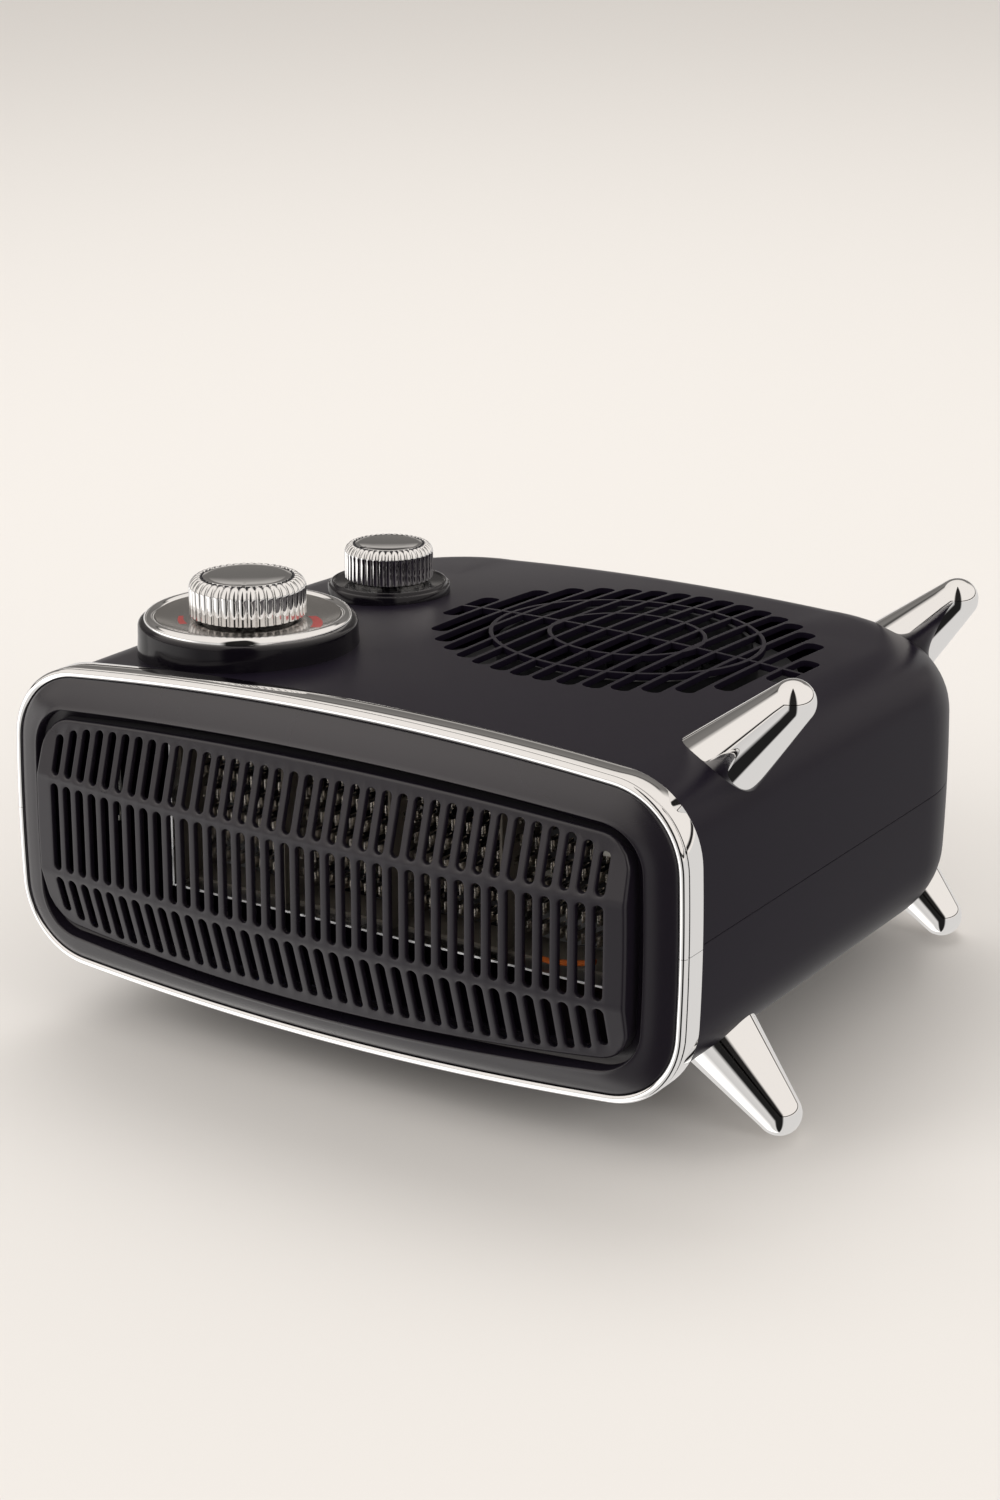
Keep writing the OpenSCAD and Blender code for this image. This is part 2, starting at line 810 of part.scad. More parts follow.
module thermostat() {
    color(deep_black) translate([-control_x, dial_y, 0]) control_body(thermostat_w, dial_collar_z + dial_dish_h);
}

module function_collar() {
    color(black_plastic) over_case() translate([-control_x, switch_y, 0]) difference() {
        union() {
            cylinder(r = switch_collar_r, h = switch_collar_z - collar_step);
            cylinder(r = switch_collar_r - collar_step, h = switch_collar_z);
        }
        translate([0, 0, -1]) cylinder(r = switch_collar_r - collar_wall, h = switch_collar_z + 1 - 2 * collar_step);
        cylinder(r = bush_r + fit_gap, h = far);
    }
}

module function_switch() {
    color(deep_black) translate([-control_x, switch_y, 0]) control_body(switch_w, switch_collar_z);
}

// A tapered leg with a round tip, trimmed where it meets the case
module leg(front, up) {
    slope = atan(leg_flare);
    color(chrome) difference() {
        on_leg(front, up) union() {
            sphere(leg_tip_r);
            translate([0, 0, -leg_tip_r * sin(slope)])
                cylinder(r1 = leg_tip_r * cos(slope), r2 = leg_tip_r * cos(slope) + leg_flare * leg_cone_h, h = leg_cone_h);
        }
        body_form(0, case_front - 5);
        on_leg(front, up) translate([0, 0, leg_seat(front) - leg_screw_reach - 1])
            cylinder(r = leg_screw_r, h = far);
    }
}

module leg_upper_front() {
    leg(true, 1);
}

module leg_upper_rear() {
    leg(false, 1);
}

module leg_lower_front() {
    leg(true, -1);
}

module leg_lower_rear() {
    leg(false, -1);
}

module screw(r, head_r, head_h, reach) {
    cylinder(r = head_r, h = head_h);
    translate([0, 0, -reach]) cylinder(r = r, h = reach + 0.5);
}

module leg_screws() {
    color(steel) for (front = [true, false], up = [1, -1])
        on_leg(front, up) translate([0, 0, leg_seat(front)]) screw(leg_screw_r, leg_screw_head_r, leg_screw_head_h, leg_screw_reach);
}

// Stub feet, with a peg into the case and a rubber pad that lies on the floor
module above_floor(lift) {
    difference() {
        children();
        rotate([lean, 0, 0]) translate([-far, -far, -floor_drop + lift - 2 * far]) cube(2 * far);
    }
}

module stub_foot(y) {
    color(black_plastic) difference() {
        above_floor(foot_shell) union() {
            difference() {
                translate([-foot_x, y, -far]) cylinder(r = foot_r, h = far - wall);
                body_form(0, case_front);
            }
            translate([-foot_x, y, -far]) cylinder(r = foot_peg_r, h = far - case_top(foot_x) + wall);
        }
        pad(y, 0);
    }
}

module pad(y, gap) {
    rotate([lean, 0, 0]) translate([-foot_x, y * cos(lean) - floor_drop * sin(lean), -floor_drop])
        cylinder(r = pad_r - gap, h = pad_h);
}

module stub_foot_front() {
    stub_foot(foot_front_y);
}

module stub_foot_rear() {
    stub_foot(foot_rear_y);
}

module foot_pads() {
    color(rubber) for (y = [foot_front_y, foot_rear_y]) pad(y, 0);
}

module case_screws() {
    color(steel) at_case_screws() translate([0, 0, case_screw_seat]) mirror([0, 0, 1])
        screw(case_screw_r, case_screw_head_r, case_screw_head_h, case_screw_reach - case_screw_seat);
}

module cable_gland() {
    color(deep_black) translate([gland_x, case_back, gland_z]) rotate([-90, 0, 0]) difference() {
        union() {
            translate([0, 0, -wall - 1]) cylinder(r = gland_r, h = wall + 3);
            translate([0, 0, seat_gap]) cylinder(r = gland_r + gland_lip, h = gland_lip);
            translate([0, 0, -wall - gland_lip - seat_gap]) cylinder(r = gland_r + gland_lip - 1, h = gland_lip);
        }
        translate([0, 0, -far]) cylinder(r = gland_bore_r, h = 2 * far);
    }
}

// Plan of the fan duct: a round end that opens to the outlet
module duct_plan(inset, mouth) {
    translate([intake_x, intake_y]) circle(scroll_r - inset);
    polygon([
        [outlet_x0 + inset, mouth], [outlet_x1 - inset, mouth],
        [intake_x + scroll_r - inset, intake_y], [intake_x - scroll_r + inset, intake_y]
    ]);
}

module fan_duct() {
    color(deep_black) difference() {
        translate([0, 0, scroll_floor_z]) linear_extrude(scroll_top_z - scroll_floor_z) duct_plan(0, duct_mouth_y);
        translate([0, 0, scroll_floor_top]) linear_extrude(far) duct_plan(scroll_wall, duct_mouth_y - 1);
        at_shaft() translate([0, 0, -far]) cylinder(r = shaft_hole_r, h = 2 * far);
        at_motor_screws() translate([0, 0, -far]) cylinder(r = motor_screw_r + 2 * screw_gap, h = 2 * far);
        at_posts() translate([0, 0, -far]) cylinder(r = duct_screw_r + 3 * screw_gap, h = 2 * far);
    }
}

module inlet_ring() {
    color(deep_black) {
        difference() {
            translate([0, 0, scroll_top_z]) linear_extrude(inlet_plate) duct_plan(0, duct_mouth_y);
            at_shaft() cylinder(r = inlet_r, h = far);
        }
        intersection() {
            translate([intake_x, intake_y, scroll_top_z]) difference() {
                cylinder(r = inlet_r + inlet_wall, h = far);
                translate([0, 0, -1]) cylinder(r = inlet_r, h = 2 * far);
            }
            body_form(rib_sink + rib_h + 0.3, case_front);
        }
    }
}

module at_shaft() {
    translate([intake_x, intake_y, 0]) children();
}

module impeller() {
    color(deep_black) at_shaft() {
        difference() {
            union() {
                translate([0, 0, impeller_floor]) cylinder(r = impeller_r, h = impeller_disc_t);
                translate([0, 0, impeller_floor]) cylinder(r = hub_r, h = hub_h);
            }
            translate([0, 0, -far]) cylinder(r = shaft_r, h = 2 * far);
        }
        for (i = [0 : blades - 1]) rotate([0, 0, i * 360 / blades])
            translate([impeller_eye_r + 1, 0, impeller_floor + 1]) rotate([0, 0, blade_turn])
                cube([impeller_r - impeller_eye_r - 1.5, blade_t, blade_h]);
        translate([0, 0, impeller_floor + blade_h - 2]) difference() {
            cylinder(r = impeller_r, h = 3);
            translate([0, 0, -1]) cylinder(r = impeller_r - 5, h = 5);
        }
    }
}

module motor_shaft() {
    color(steel) at_shaft() {
        translate([0, 0, shaft_bottom]) cylinder(r = shaft_r, h = shaft_top - shaft_bottom);
        translate([0, 0, stack_bottom - rotor_proud]) cylinder(r = rotor_r, h = stack_h + 2 * rotor_proud);
    }
}

module at_motor_screws() {
    at_shaft() for (s = [-1, 1]) translate([s * motor_screw_x, 0, 0]) children();
}

// Laminated stator: a frame round the rotor, with a limb that carries the coil
module motor_stator() {
    color(steel) difference() {
        at_shaft() translate([-stack_w / 2, -stack_d / 2 - coil_room, stack_bottom])
            cube([stack_w, stack_d + coil_room, stack_h]);
        at_shaft() translate([0, 0, -far]) cylinder(r = rotor_r + air_gap, h = 2 * far);
        at_shaft() for (s = [0, 1]) mirror([s, 0, 0])
            translate([limb_w / 2, window_front, stack_bottom - 1]) cube([window_w, coil_room, stack_h + 2]);
        at_motor_screws() translate([0, 0, -far]) cylinder(r = motor_screw_r + screw_gap, h = 2 * far);
    }
}

// Winding round the stator's middle limb
module motor_coil() {
    color(copper) at_shaft() difference() {
        translate([-coil_w / 2, window_front + 0.6, stack_bottom - coil_end])
            cube([coil_w, coil_d, stack_h + 2 * coil_end]);
        translate([-limb_w / 2 - 0.1, window_front - 1, stack_bottom - 0.1])
            cube([limb_w + 0.2, coil_room + 2, stack_h + 0.2]);
    }
}

// A bridge across the stator with the shaft's bearing in its middle
module bridge(z, up) {
    difference() {
        union() {
            at_shaft() translate([1 - stack_w / 2, -bridge_hub_r, z]) cube([stack_w - 2, 2 * bridge_hub_r, bridge_t]);
            at_motor_screws() translate([0, 0, up > 0 ? z - bridge_gap : z + bridge_t - 0.01])
                cylinder(r = bridge_pad_r, h = bridge_gap + 0.01);
            at_shaft() translate([0, 0, z]) cylinder(r = bridge_hub_r, h = bridge_t);
        }
        at_shaft() translate([0, 0, -far]) cylinder(r = shaft_r + running_gap, h = 2 * far);
        at_motor_screws() translate([0, 0, -far]) cylinder(r = motor_screw_r + screw_gap, h = 2 * far);
    }
}

module motor_bridge_upper() {
    color(steel) {
        bridge(stack_top + bridge_gap, 1);
        difference() {
            at_motor_screws() translate([0, 0, stack_top + bridge_gap + bridge_t - 0.01])
                cylinder(r = bridge_pad_r, h = scroll_floor_z - stack_top - bridge_gap - bridge_t + 0.01);
            at_motor_screws() translate([0, 0, -far]) cylinder(r = motor_screw_r + screw_gap, h = 2 * far);
        }
    }
}

module motor_bridge_lower() {
    color(steel) bridge(stack_bottom - bridge_gap - bridge_t, -1);
}

module motor_screws() {
    color(steel) at_motor_screws() translate([0, 0, stack_bottom - bridge_gap - bridge_t]) mirror([0, 0, 1])
        screw(motor_screw_r, small_head_r, small_head_h, scroll_floor_top + 2 - stack_bottom + bridge_gap + bridge_t);
}

module duct_screws() {
    color(steel) at_posts() translate([0, 0, scroll_floor_top])
        screw(duct_screw_r, small_head_r, small_head_h, scroll_wall + duct_screw_reach - 1);
}

// Sheet-metal duct that holds the element in the outlet
module outlet_duct() {
    color(silver) difference() {
        translate([outlet_x0, guard_y, outlet_bottom])
            cube([outlet_x1 - outlet_x0, duct_mouth_y - guard_y, outlet_top - outlet_bottom]);
        translate([outlet_x0 + sheet, guard_y - 1, outlet_bottom + sheet])
            cube([outlet_x1 - outlet_x0 - 2 * sheet, far, outlet_top - outlet_bottom - 2 * sheet]);
    }
}

function ribbon_z(row) = mica_bottom + (row + 1) * ribbon_pitch_z;
function board_x(i) = mica_x0 + i * (mica_x1 - mica_x0 - mica_t) / (mica_boards - 1);

module mica_frame() {
    color(mica) difference() {
        union() {
            for (i = [0 : mica_boards - 1])
                translate([board_x(i), mica_y, mica_bottom]) cube([mica_t, mica_d, mica_top - mica_bottom]);
            for (z = [mica_bottom, mica_top - mica_t])
                translate([mica_x0, mica_y + 4, z]) cube([mica_x1 - mica_x0, mica_d - 8, mica_t]);
        }
        for (row = [0 : ribbon_rows - 1])
            translate([mica_x0 + ribbon_end - 0.3, ribbon_y - ribbon_swing - 1, ribbon_z(row) - 0.2])
                cube([mica_x1 - mica_x0 - 2 * ribbon_end + 0.6, 2 * ribbon_swing + 2, ribbon_h + 0.4]);
    }
}

// Zig-zag ribbon rows, folded along the outlet
module heating_ribbon() {
    span = mica_x1 - mica_x0 - 2 * ribbon_end;
    folds = floor(span / ribbon_fold) * 2;
    step = span / folds;
    front = [for (i = [0 : folds]) [mica_x0 + ribbon_end + i * step, ribbon_y + (i % 2 == 0 ? -1 : 1) * ribbon_swing - ribbon_t / 2]];
    back = [for (i = [folds : -1 : 0]) [mica_x0 + ribbon_end + i * step, ribbon_y + (i % 2 == 0 ? -1 : 1) * ribbon_swing + ribbon_t / 2]];
    color(silver) for (row = [0 : ribbon_rows - 1])
        translate([0, 0, ribbon_z(row)]) linear_extrude(ribbon_h) polygon(concat(front, back));
}

module thermal_cutout() {
    color(steel) translate([board_x(2) + mica_t / 2, mica_y + mica_d, ribbon_z(4)]) rotate([-90, 0, 0]) {
        cylinder(r = cutout_r, h = cutout_h);
        translate([-cutout_lug, -2, 0]) cube([2 * cutout_lug, 4, 1]);
    }
}

module thermal_fuse() {
    color(ceramic) translate([board_x(3) - fuse_l / 2, mica_y + mica_d + fuse_r, ribbon_z(2)]) rotate([0, 90, 0])
        cylinder(r = fuse_r, h = fuse_l);
}

module terminal_block() {
    color(ceramic) translate([mica_x1 - mica_t - block_w, mica_y - 1, mica_top - mica_t - block_h]) cube([block_w, block_d, block_h]);
}

function wire_way(p, i) = unit(p[min(i + 1, len(p) - 1)] - p[max(i - 1, 0)]);
function wire_side(w) = unit(cross(w, abs(w.z) > 0.9 ? [1, 0, 0] : [0, 0, 1]));

module wire(p) {
    n = len(p);
    points = [for (i = [0 : n - 1], k = [0 : wire_sides - 1])
        let (w = wire_way(p, i), u = wire_side(w), v = cross(w, u), t = 360 * k / wire_sides)
            p[i] + lead_r * (cos(t) * u + sin(t) * v)];
    sides = [for (i = [0 : n - 2], k = [0 : wire_sides - 1])
        let (a = i * wire_sides, b = a + wire_sides, j = (k + 1) % wire_sides)
            each [[a + k, b + k, b + j], [a + k, b + j, a + j]]];
    polyhedron(points, concat(sides,
        [[for (k = [0 : wire_sides - 1]) k], [for (k = [wire_sides - 1 : -1 : 0]) (n - 1) * wire_sides + k]]));
}

module lead_blue() {
    color([0.1, 0.2, 0.6]) wire(lead_blue_points);
}

module lead_brown() {
    color([0.35, 0.2, 0.1]) wire(lead_brown_points);
}

module lead_orange() {
    color([0.85, 0.4, 0.1]) wire(lead_orange_points);
}

at_rest() upper_case();
at_rest() lower_case();
at_rest() rim_upper();
at_rest() rim_lower();
at_rest() front_bezel();
at_rest() outlet_grille();
at_rest() thermostat_collar();
at_rest() dial_ring();
at_rest() dial_scale();
at_rest() thermostat_knob();
at_rest() thermostat_spindle();
at_rest() thermostat();
at_rest() function_collar();
at_rest() function_knob();
at_rest() function_spindle();
at_rest() function_switch();
at_rest() leg_upper_front();
at_rest() leg_upper_rear();
at_rest() leg_lower_front();
at_rest() leg_lower_rear();
at_rest() leg_screws();
at_rest() stub_foot_front();
at_rest() stub_foot_rear();
at_rest() foot_pads();
at_rest() case_screws();
at_rest() cable_gland();
at_rest() fan_duct();
at_rest() inlet_ring();
at_rest() impeller();
at_rest() motor_shaft();
at_rest() motor_stator();
at_rest() motor_coil();
at_rest() motor_bridge_upper();
at_rest() motor_bridge_lower();
at_rest() motor_screws();
at_rest() duct_screws();
at_rest() outlet_duct();
at_rest() mica_frame();
at_rest() heating_ribbon();
at_rest() thermal_cutout();
at_rest() thermal_fuse();
at_rest() terminal_block();
at_rest() lead_blue();
at_rest() lead_brown();
at_rest() lead_orange();
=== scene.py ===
import json
import math
import bmesh
import bpy
import numpy as np
from mathutils import Matrix, Vector


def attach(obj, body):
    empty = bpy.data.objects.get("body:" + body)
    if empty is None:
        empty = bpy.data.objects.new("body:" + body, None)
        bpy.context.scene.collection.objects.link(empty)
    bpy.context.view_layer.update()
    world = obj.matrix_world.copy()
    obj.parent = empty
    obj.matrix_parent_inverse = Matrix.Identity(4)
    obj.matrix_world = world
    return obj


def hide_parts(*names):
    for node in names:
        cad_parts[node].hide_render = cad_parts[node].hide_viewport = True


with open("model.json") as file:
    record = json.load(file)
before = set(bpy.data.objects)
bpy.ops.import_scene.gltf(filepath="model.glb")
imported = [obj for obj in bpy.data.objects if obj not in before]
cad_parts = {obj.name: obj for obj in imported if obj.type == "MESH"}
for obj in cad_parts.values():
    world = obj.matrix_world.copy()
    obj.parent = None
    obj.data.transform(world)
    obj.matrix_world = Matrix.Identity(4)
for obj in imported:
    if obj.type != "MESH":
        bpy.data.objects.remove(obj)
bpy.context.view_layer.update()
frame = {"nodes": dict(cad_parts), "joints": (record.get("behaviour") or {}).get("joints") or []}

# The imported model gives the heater's place: its own level frame has its zero in the middle of
# the front rim, X to the right, Y back and Z up, and leans back a little onto the floor.
# Lengths below are millimetres in that level frame, and at_rest brings them to the scene.
MM = 0.001
intake_x, intake_y = 37.4, 152.3
fan_joint = next(joint for joint in frame["joints"] if joint["name"] == "fan_spin")
lean = math.asin(fan_joint["axis"][1])
leaning = Matrix.Rotation(-lean, 4, "X")
fan_foot = leaning @ Vector((intake_x, intake_y, 0)) * MM
at_rest = Matrix.Translation(Vector(fan_joint["pos_m"]) - fan_foot) @ leaning @ Matrix.Scale(MM, 4)

# The camera looks down on the heater from the front right, as in the photograph, with a
# lens that is long for so small an object.
camera_at = Vector((607.5, -840.9, 385.9))
camera_yaw, camera_pitch, camera_roll = -0.565, 0.314, 0.002
frame_height, focal_length = 1500, 3002.3
forward = Vector((
    math.sin(camera_yaw) * math.cos(camera_pitch),
    math.cos(camera_yaw) * math.cos(camera_pitch),
    -math.sin(camera_pitch),
))
rightward = Vector((math.cos(camera_yaw), -math.sin(camera_yaw), 0))
upward = rightward.cross(forward)
camera = bpy.data.objects.new("camera", bpy.data.cameras.new("camera"))
camera.data.sensor_width = 36
camera.data.lens = focal_length * camera.data.sensor_width / frame_height
camera.data.clip_start, camera.data.clip_end = 0.05, 100
facing = Matrix((rightward, upward, -forward)).transposed()
camera.matrix_world = (
    Matrix.Translation(at_rest @ camera_at)
    @ leaning @ facing.to_4x4() @ Matrix.Rotation(camera_roll, 4, "Z")
)
bpy.context.scene.collection.objects.link(camera)
bpy.context.scene.camera = camera
bpy.context.scene.view_settings.view_transform = "Standard"


# The studio: a pale floor under an even white light, and three soft boxes that mirrors don't
# see. Mirrors see a room of their own, which gives the chrome its streaks.
def material_nodes(name):
    material = bpy.data.materials.new(name)
    material.use_nodes = True
    tree = material.node_tree
    return material, tree, tree.nodes["Principled BSDF"]


def feed(tree, socket, source):
    """Links a socket to an output, or gives it a value"""
    if isinstance(source, bpy.types.NodeSocket):
        tree.links.new(source, socket)
    else:
        socket.default_value = source


def set_up(tree, node, **settings):
    """Sets a node's properties and feeds its sockets; underscores stand for blanks in their names"""
    for key, value in settings.items():
        if key in node.bl_rna.properties:
            setattr(node, key, value)
        else:
            feed(tree, node.inputs[key.replace("_", " ")], value)


def add_node(tree, kind, *sources, **settings):
    """A new node, whose first sockets may be fed in their order"""
    made = tree.nodes.new(kind)
    for socket, source in zip(made.inputs, sources):
        feed(tree, socket, source)
    set_up(tree, made, **settings)
    return made


floor_reach = 30
floor_corners = [(x * floor_reach, y * floor_reach, 0) for x, y in ((-1, -1), (1, -1), (1, 1), (-1, 1))]
floor_mesh = bpy.data.meshes.new("floor")
floor_mesh.from_pydata(floor_corners, [], [(0, 1, 2, 3)])
floor = bpy.data.objects.new("floor", floor_mesh)
bpy.context.scene.collection.objects.link(floor)
floor_material, floor_tree, floor_shader = material_nodes("pale_floor")
set_up(floor_tree, floor_shader, Base_Color=(0.74, 0.705, 0.67, 1), Roughness=0.9, Specular_IOR_Level=0.1)
floor_mesh.materials.append(floor_material)

world = bpy.data.worlds.new("studio")
bpy.context.scene.world = world
world.use_nodes = True
sky = world.node_tree
backdrop = sky.nodes["Background"]
set_up(sky, backdrop, Color=(0.97, 0.955, 0.93, 1), Strength=0.85)
warm_grey = (1, 0.97, 0.94)


def ramp(tree, place, *stops):
    """A colour read off a ramp through warm greys, which is given as (place, shade) pairs"""
    made = add_node(tree, "ShaderNodeValToRGB", place)
    elements = made.color_ramp.elements
    elements[0].position, elements[1].position = stops[0][0], stops[-1][0]
    for position, shade in stops[1:-1]:
        elements.new(position)
    for element, (position, shade) in zip(elements, stops):
        element.color = (*[shade * part for part in warm_grey], 1)
    return made.outputs["Color"]


def by_bearing(tree, *stops):
    """A ramp round the compass, from minus to plus 180 degrees, as (degrees, shade) pairs"""
    ray = add_node(tree, "ShaderNodeNewGeometry")
    toward = add_node(tree, "ShaderNodeVectorMath", ray.outputs["Incoming"], operation="SCALE", Scale=-1)
    parts = add_node(tree, "ShaderNodeSeparateXYZ", toward.outputs[0])
    bearing = add_node(tree, "ShaderNodeMath", parts.outputs["Y"], parts.outputs["X"], operation="ARCTAN2")
    spread = add_node(tree, "ShaderNodeMapRange", bearing.outputs[0], From_Min=-math.pi, From_Max=math.pi)
    return ramp(tree, spread.outputs[0], *[(degrees / 360 + 0.5, shade) for degrees, shade in stops])


def mixed(tree, factor, first, second, kind="MIX"):
    """Two colours mixed; each colour and the factor is a value or an output"""
    mix = add_node(tree, "ShaderNodeMix", data_type="RGBA", blend_type=kind)
    for place, source in ((0, factor), (6, first), (7, second)):
        feed(tree, mix.inputs[place], source)
    return mix.outputs[2]


def only_for_mirrors(tree, plain, mirrored, output):
    """Shows the plain shader to the camera and to light, and the other one to mirrors"""
    mirror_ray = add_node(tree, "ShaderNodeLightPath").outputs["Is Glossy Ray"]
    seen = add_node(tree, "ShaderNodeMixShader", mirror_ray, plain.outputs[0], mirrored.outputs[0])
    tree.links.new(seen.outputs[0], tree.nodes[output].inputs["Surface"])


# What mirrors see: a pale room with a dark band low down, a darker wall at the back left, a dark
# card at the camera's bearing, and a floor that glows most towards the front left.
direction = add_node(sky, "ShaderNodeNewGeometry")
downward = add_node(sky, "ShaderNodeSeparateXYZ", direction.outputs["Incoming"])
height = add_node(sky, "ShaderNodeMath", downward.outputs["Z"], -1, operation="MULTIPLY").outputs[0]
open_side = ramp(sky, height, (0, 0.9), (0.035, 0.9), (0.05, 0.02), (0.095, 0.015), (0.12, 0.9), (1, 0.9))
wall_side = ramp(
    sky, height, (0, 0.9), (0.035, 0.9), (0.05, 0.02), (0.1, 0.02), (0.14, 0.5), (0.2, 0.13), (0.45, 0.19),
    (0.5, 0.03), (0.55, 0.85), (1, 0.9),
)
toward_camera = -90 - math.degrees(camera_yaw)
dark_card = [(toward_camera + turn, shade) for turn, shade in ((-27, 1), (-20, 0.02), (11, 0.02), (18, 1))]
wall = by_bearing(sky, (-180, 1), (-165, 0), (78, 0), (88, 1), (180, 1))
card = by_bearing(sky, (-180, 1), *dark_card, (180, 1))
room_colour = mixed(sky, 1, mixed(sky, wall, open_side, wall_side), card, "MULTIPLY")
room = add_node(sky, "ShaderNodeBackground", Color=room_colour, Strength=1)
only_for_mirrors(sky, backdrop, room, "World Output")
floor_shade = 0.45
floor_stops = [(turn, shade * floor_shade) for turn, shade in dark_card]
floor_colour = by_bearing(
    floor_tree, (-180, 0.7), (-150, 1), (-128, 0.95), (-105, 0.4), *floor_stops, (180, floor_shade)
)
floor_glow = add_node(floor_tree, "ShaderNodeEmission", Color=floor_colour, Strength=1.6)
only_for_mirrors(floor_tree, floor_shader, floor_glow, "Material Output")
heater_middle = Vector((0, 0, 0.08))


def soft_box(name, place, width, height, power):
    lamp = bpy.data.lights.new(name, "AREA")
    lamp.shape = "RECTANGLE"
    lamp.size, lamp.size_y, lamp.energy = width, height, power
    box = bpy.data.objects.new(name, lamp)
    box.location = place
    box.visible_glossy = False
    box.rotation_euler = (heater_middle - Vector(place)).to_track_quat("-Z", "Y").to_euler()
    bpy.context.scene.collection.objects.link(box)


soft_box("overhead_box", (-0.7, 1.0, 2.6), 1.9, 1.4, 26)
soft_box("front_box", (-1.6, -2.4, 1.9), 1.3, 1.8, 26)
soft_box("side_box", (2.7, -0.5, 1.3), 1.0, 1.5, 15)


# The black plastic is injection-moulded ABS with a fine satin spark finish. It reads slate
# grey where it catches the light, and its grain breaks the reflections up softly.
def noise(tree, **settings):
    """A noise that is fixed to the piece"""
    place = add_node(tree, "ShaderNodeTexCoord")
    return add_node(tree, "ShaderNodeTexNoise", place.outputs["Object"], **settings).outputs["Fac"]


def shade_of(colour, share):
    return (*[part * share for part in colour], 1)


def satin_plastic(name, colour, roughness, grain=0.05, specular=0.11):
    """Grained plastic that shines more the further its face looks up"""
    material, tree, shader = material_nodes(name)
    surface = add_node(tree, "ShaderNodeNewGeometry")
    facing_up = add_node(tree, "ShaderNodeSeparateXYZ", surface.outputs["Normal"])
    low, high = 0.4 * specular, 1.6 * specular
    polish = add_node(tree, "ShaderNodeMapRange", facing_up.outputs["Z"], To_Min=low, To_Max=high)
    cloud = noise(tree, Scale=9, Detail=3)
    gloss = add_node(tree, "ShaderNodeMapRange", cloud, To_Min=roughness - 0.05, To_Max=roughness + 0.06)
    spark = noise(tree, Scale=2600, Detail=2, Roughness=0.6)
    eased = add_node(tree, "ShaderNodeBevel", samples=4, Radius=0.0004)
    bump = add_node(tree, "ShaderNodeBump", Strength=grain, Distance=0.0001)
    set_up(tree, bump, Height=spark, Normal=eased.outputs[0])
    tone = mixed(tree, cloud, shade_of(colour, 1), shade_of(colour, 1.25))
    set_up(tree, shader, Base_Color=tone, Roughness=gloss.outputs[0], Normal=bump.outputs["Normal"])
    set_up(tree, shader, Specular_IOR_Level=polish.outputs[0])
    return material


case_plastic = satin_plastic("case_plastic", (0.0075, 0.0055, 0.0105), 0.33, 0.12)
front_plastic = satin_plastic("front_plastic", (0.0085, 0.0065, 0.0105), 0.27, 0.1, 0.8)
gloss_plastic = satin_plastic("gloss_plastic", (0.004, 0.003, 0.005), 0.12, 0.02, 0.4)


# The case is two moulded halves that meet at mid height. Their front follows the rim's
# outline, the rear rolls round in plan and in section, and the top falls away towards it.
def local_mesh(name, points, faces, material):
    """A mesh with its points as they are given"""
    mesh = bpy.data.meshes.new(name)
    mesh.from_pydata([tuple(map(float, point)) for point in points], [], faces)
    mesh.materials.append(material)
    made = bpy.data.objects.new(name, mesh)
    bpy.context.scene.collection.objects.link(made)
    return made


def cleaned(mesh, weld, holes=False):
    """Joins points nearer than a length, fills holes if asked to, and turns the faces outwards"""
    shape = bmesh.new()
    shape.from_mesh(mesh)
    bmesh.ops.remove_doubles(shape, verts=shape.verts, dist=weld * MM)
    bmesh.ops.dissolve_degenerate(shape, edges=shape.edges, dist=weld * MM)
    if holes:
        bmesh.ops.holes_fill(shape, edges=[edge for edge in shape.edges if edge.is_boundary])
    bmesh.ops.recalc_face_normals(shape, faces=shape.faces)
    shape.to_mesh(mesh)
    shape.free()


def smoothed(mesh, sharp=35):
    """Shades the mesh smooth up to an angle in degrees"""
    mesh.shade_smooth()
    mesh.set_sharp_from_angle(angle=math.radians(sharp))


def solid(name, points, faces, material, sharp=35):
    """A finished mesh from points in the level frame"""
    at_place = [at_rest @ Vector(map(float, point)) for point in points]
    made = local_mesh(name, at_place, faces, material)
    cleaned(made.data, 0.004)
    smoothed(made.data, sharp)
    return made


def fit(part, body, slot, *nodes):
    """The piece stands for its CAD nodes and rides on their body"""
    if nodes:
        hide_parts(*nodes)
    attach(part, body)


def grid(rows, around=False, along=False):
    """Points and faces of rows of points; around closes each row, along joins the last to the first"""
    count = len(rows[0])
    faces = []
    for r in range(len(rows) if along else len(rows) - 1):
        for k in range(count if around else count - 1):
            a, b = r * count, ((r + 1) % len(rows)) * count
            j = (k + 1) % count
            faces.append((a + k, a + j, b + j, b + k))
    return [tuple(point) for row in rows for point in row], faces


def capped(rows):
    """A closed shape of loops in a row, with a face at each end"""
    points, faces = grid(rows, around=True)
    count = len(rows[0])
    return points, faces + [tuple(range(count)), tuple(range(len(points) - count, len(points)))]


def joined(*shapes):
    """Several point and face lists as one"""
    points, faces = [], []
    for some_points, some_faces in shapes:
        start = len(points)
        points += some_points
        faces += [tuple(start + k for k in face) for face in some_faces]
    return points, faces


def circles_meet(c1, r1, c2, r2):
    """The upper right point at r1 from c1 and r2 from c2"""
    c1, c2 = np.array(c1, float), np.array(c2, float)
    gap = np.linalg.norm(c2 - c1)
    way = (c2 - c1) / gap
    t = (r1 * r1 - r2 * r2 + gap * gap) / (2 * gap)
    side = math.sqrt(r1 * r1 - t * t) * np.array((-way[1], way[0]))
    return max(c1 + t * way + side, c1 + t * way - side, key=sum)


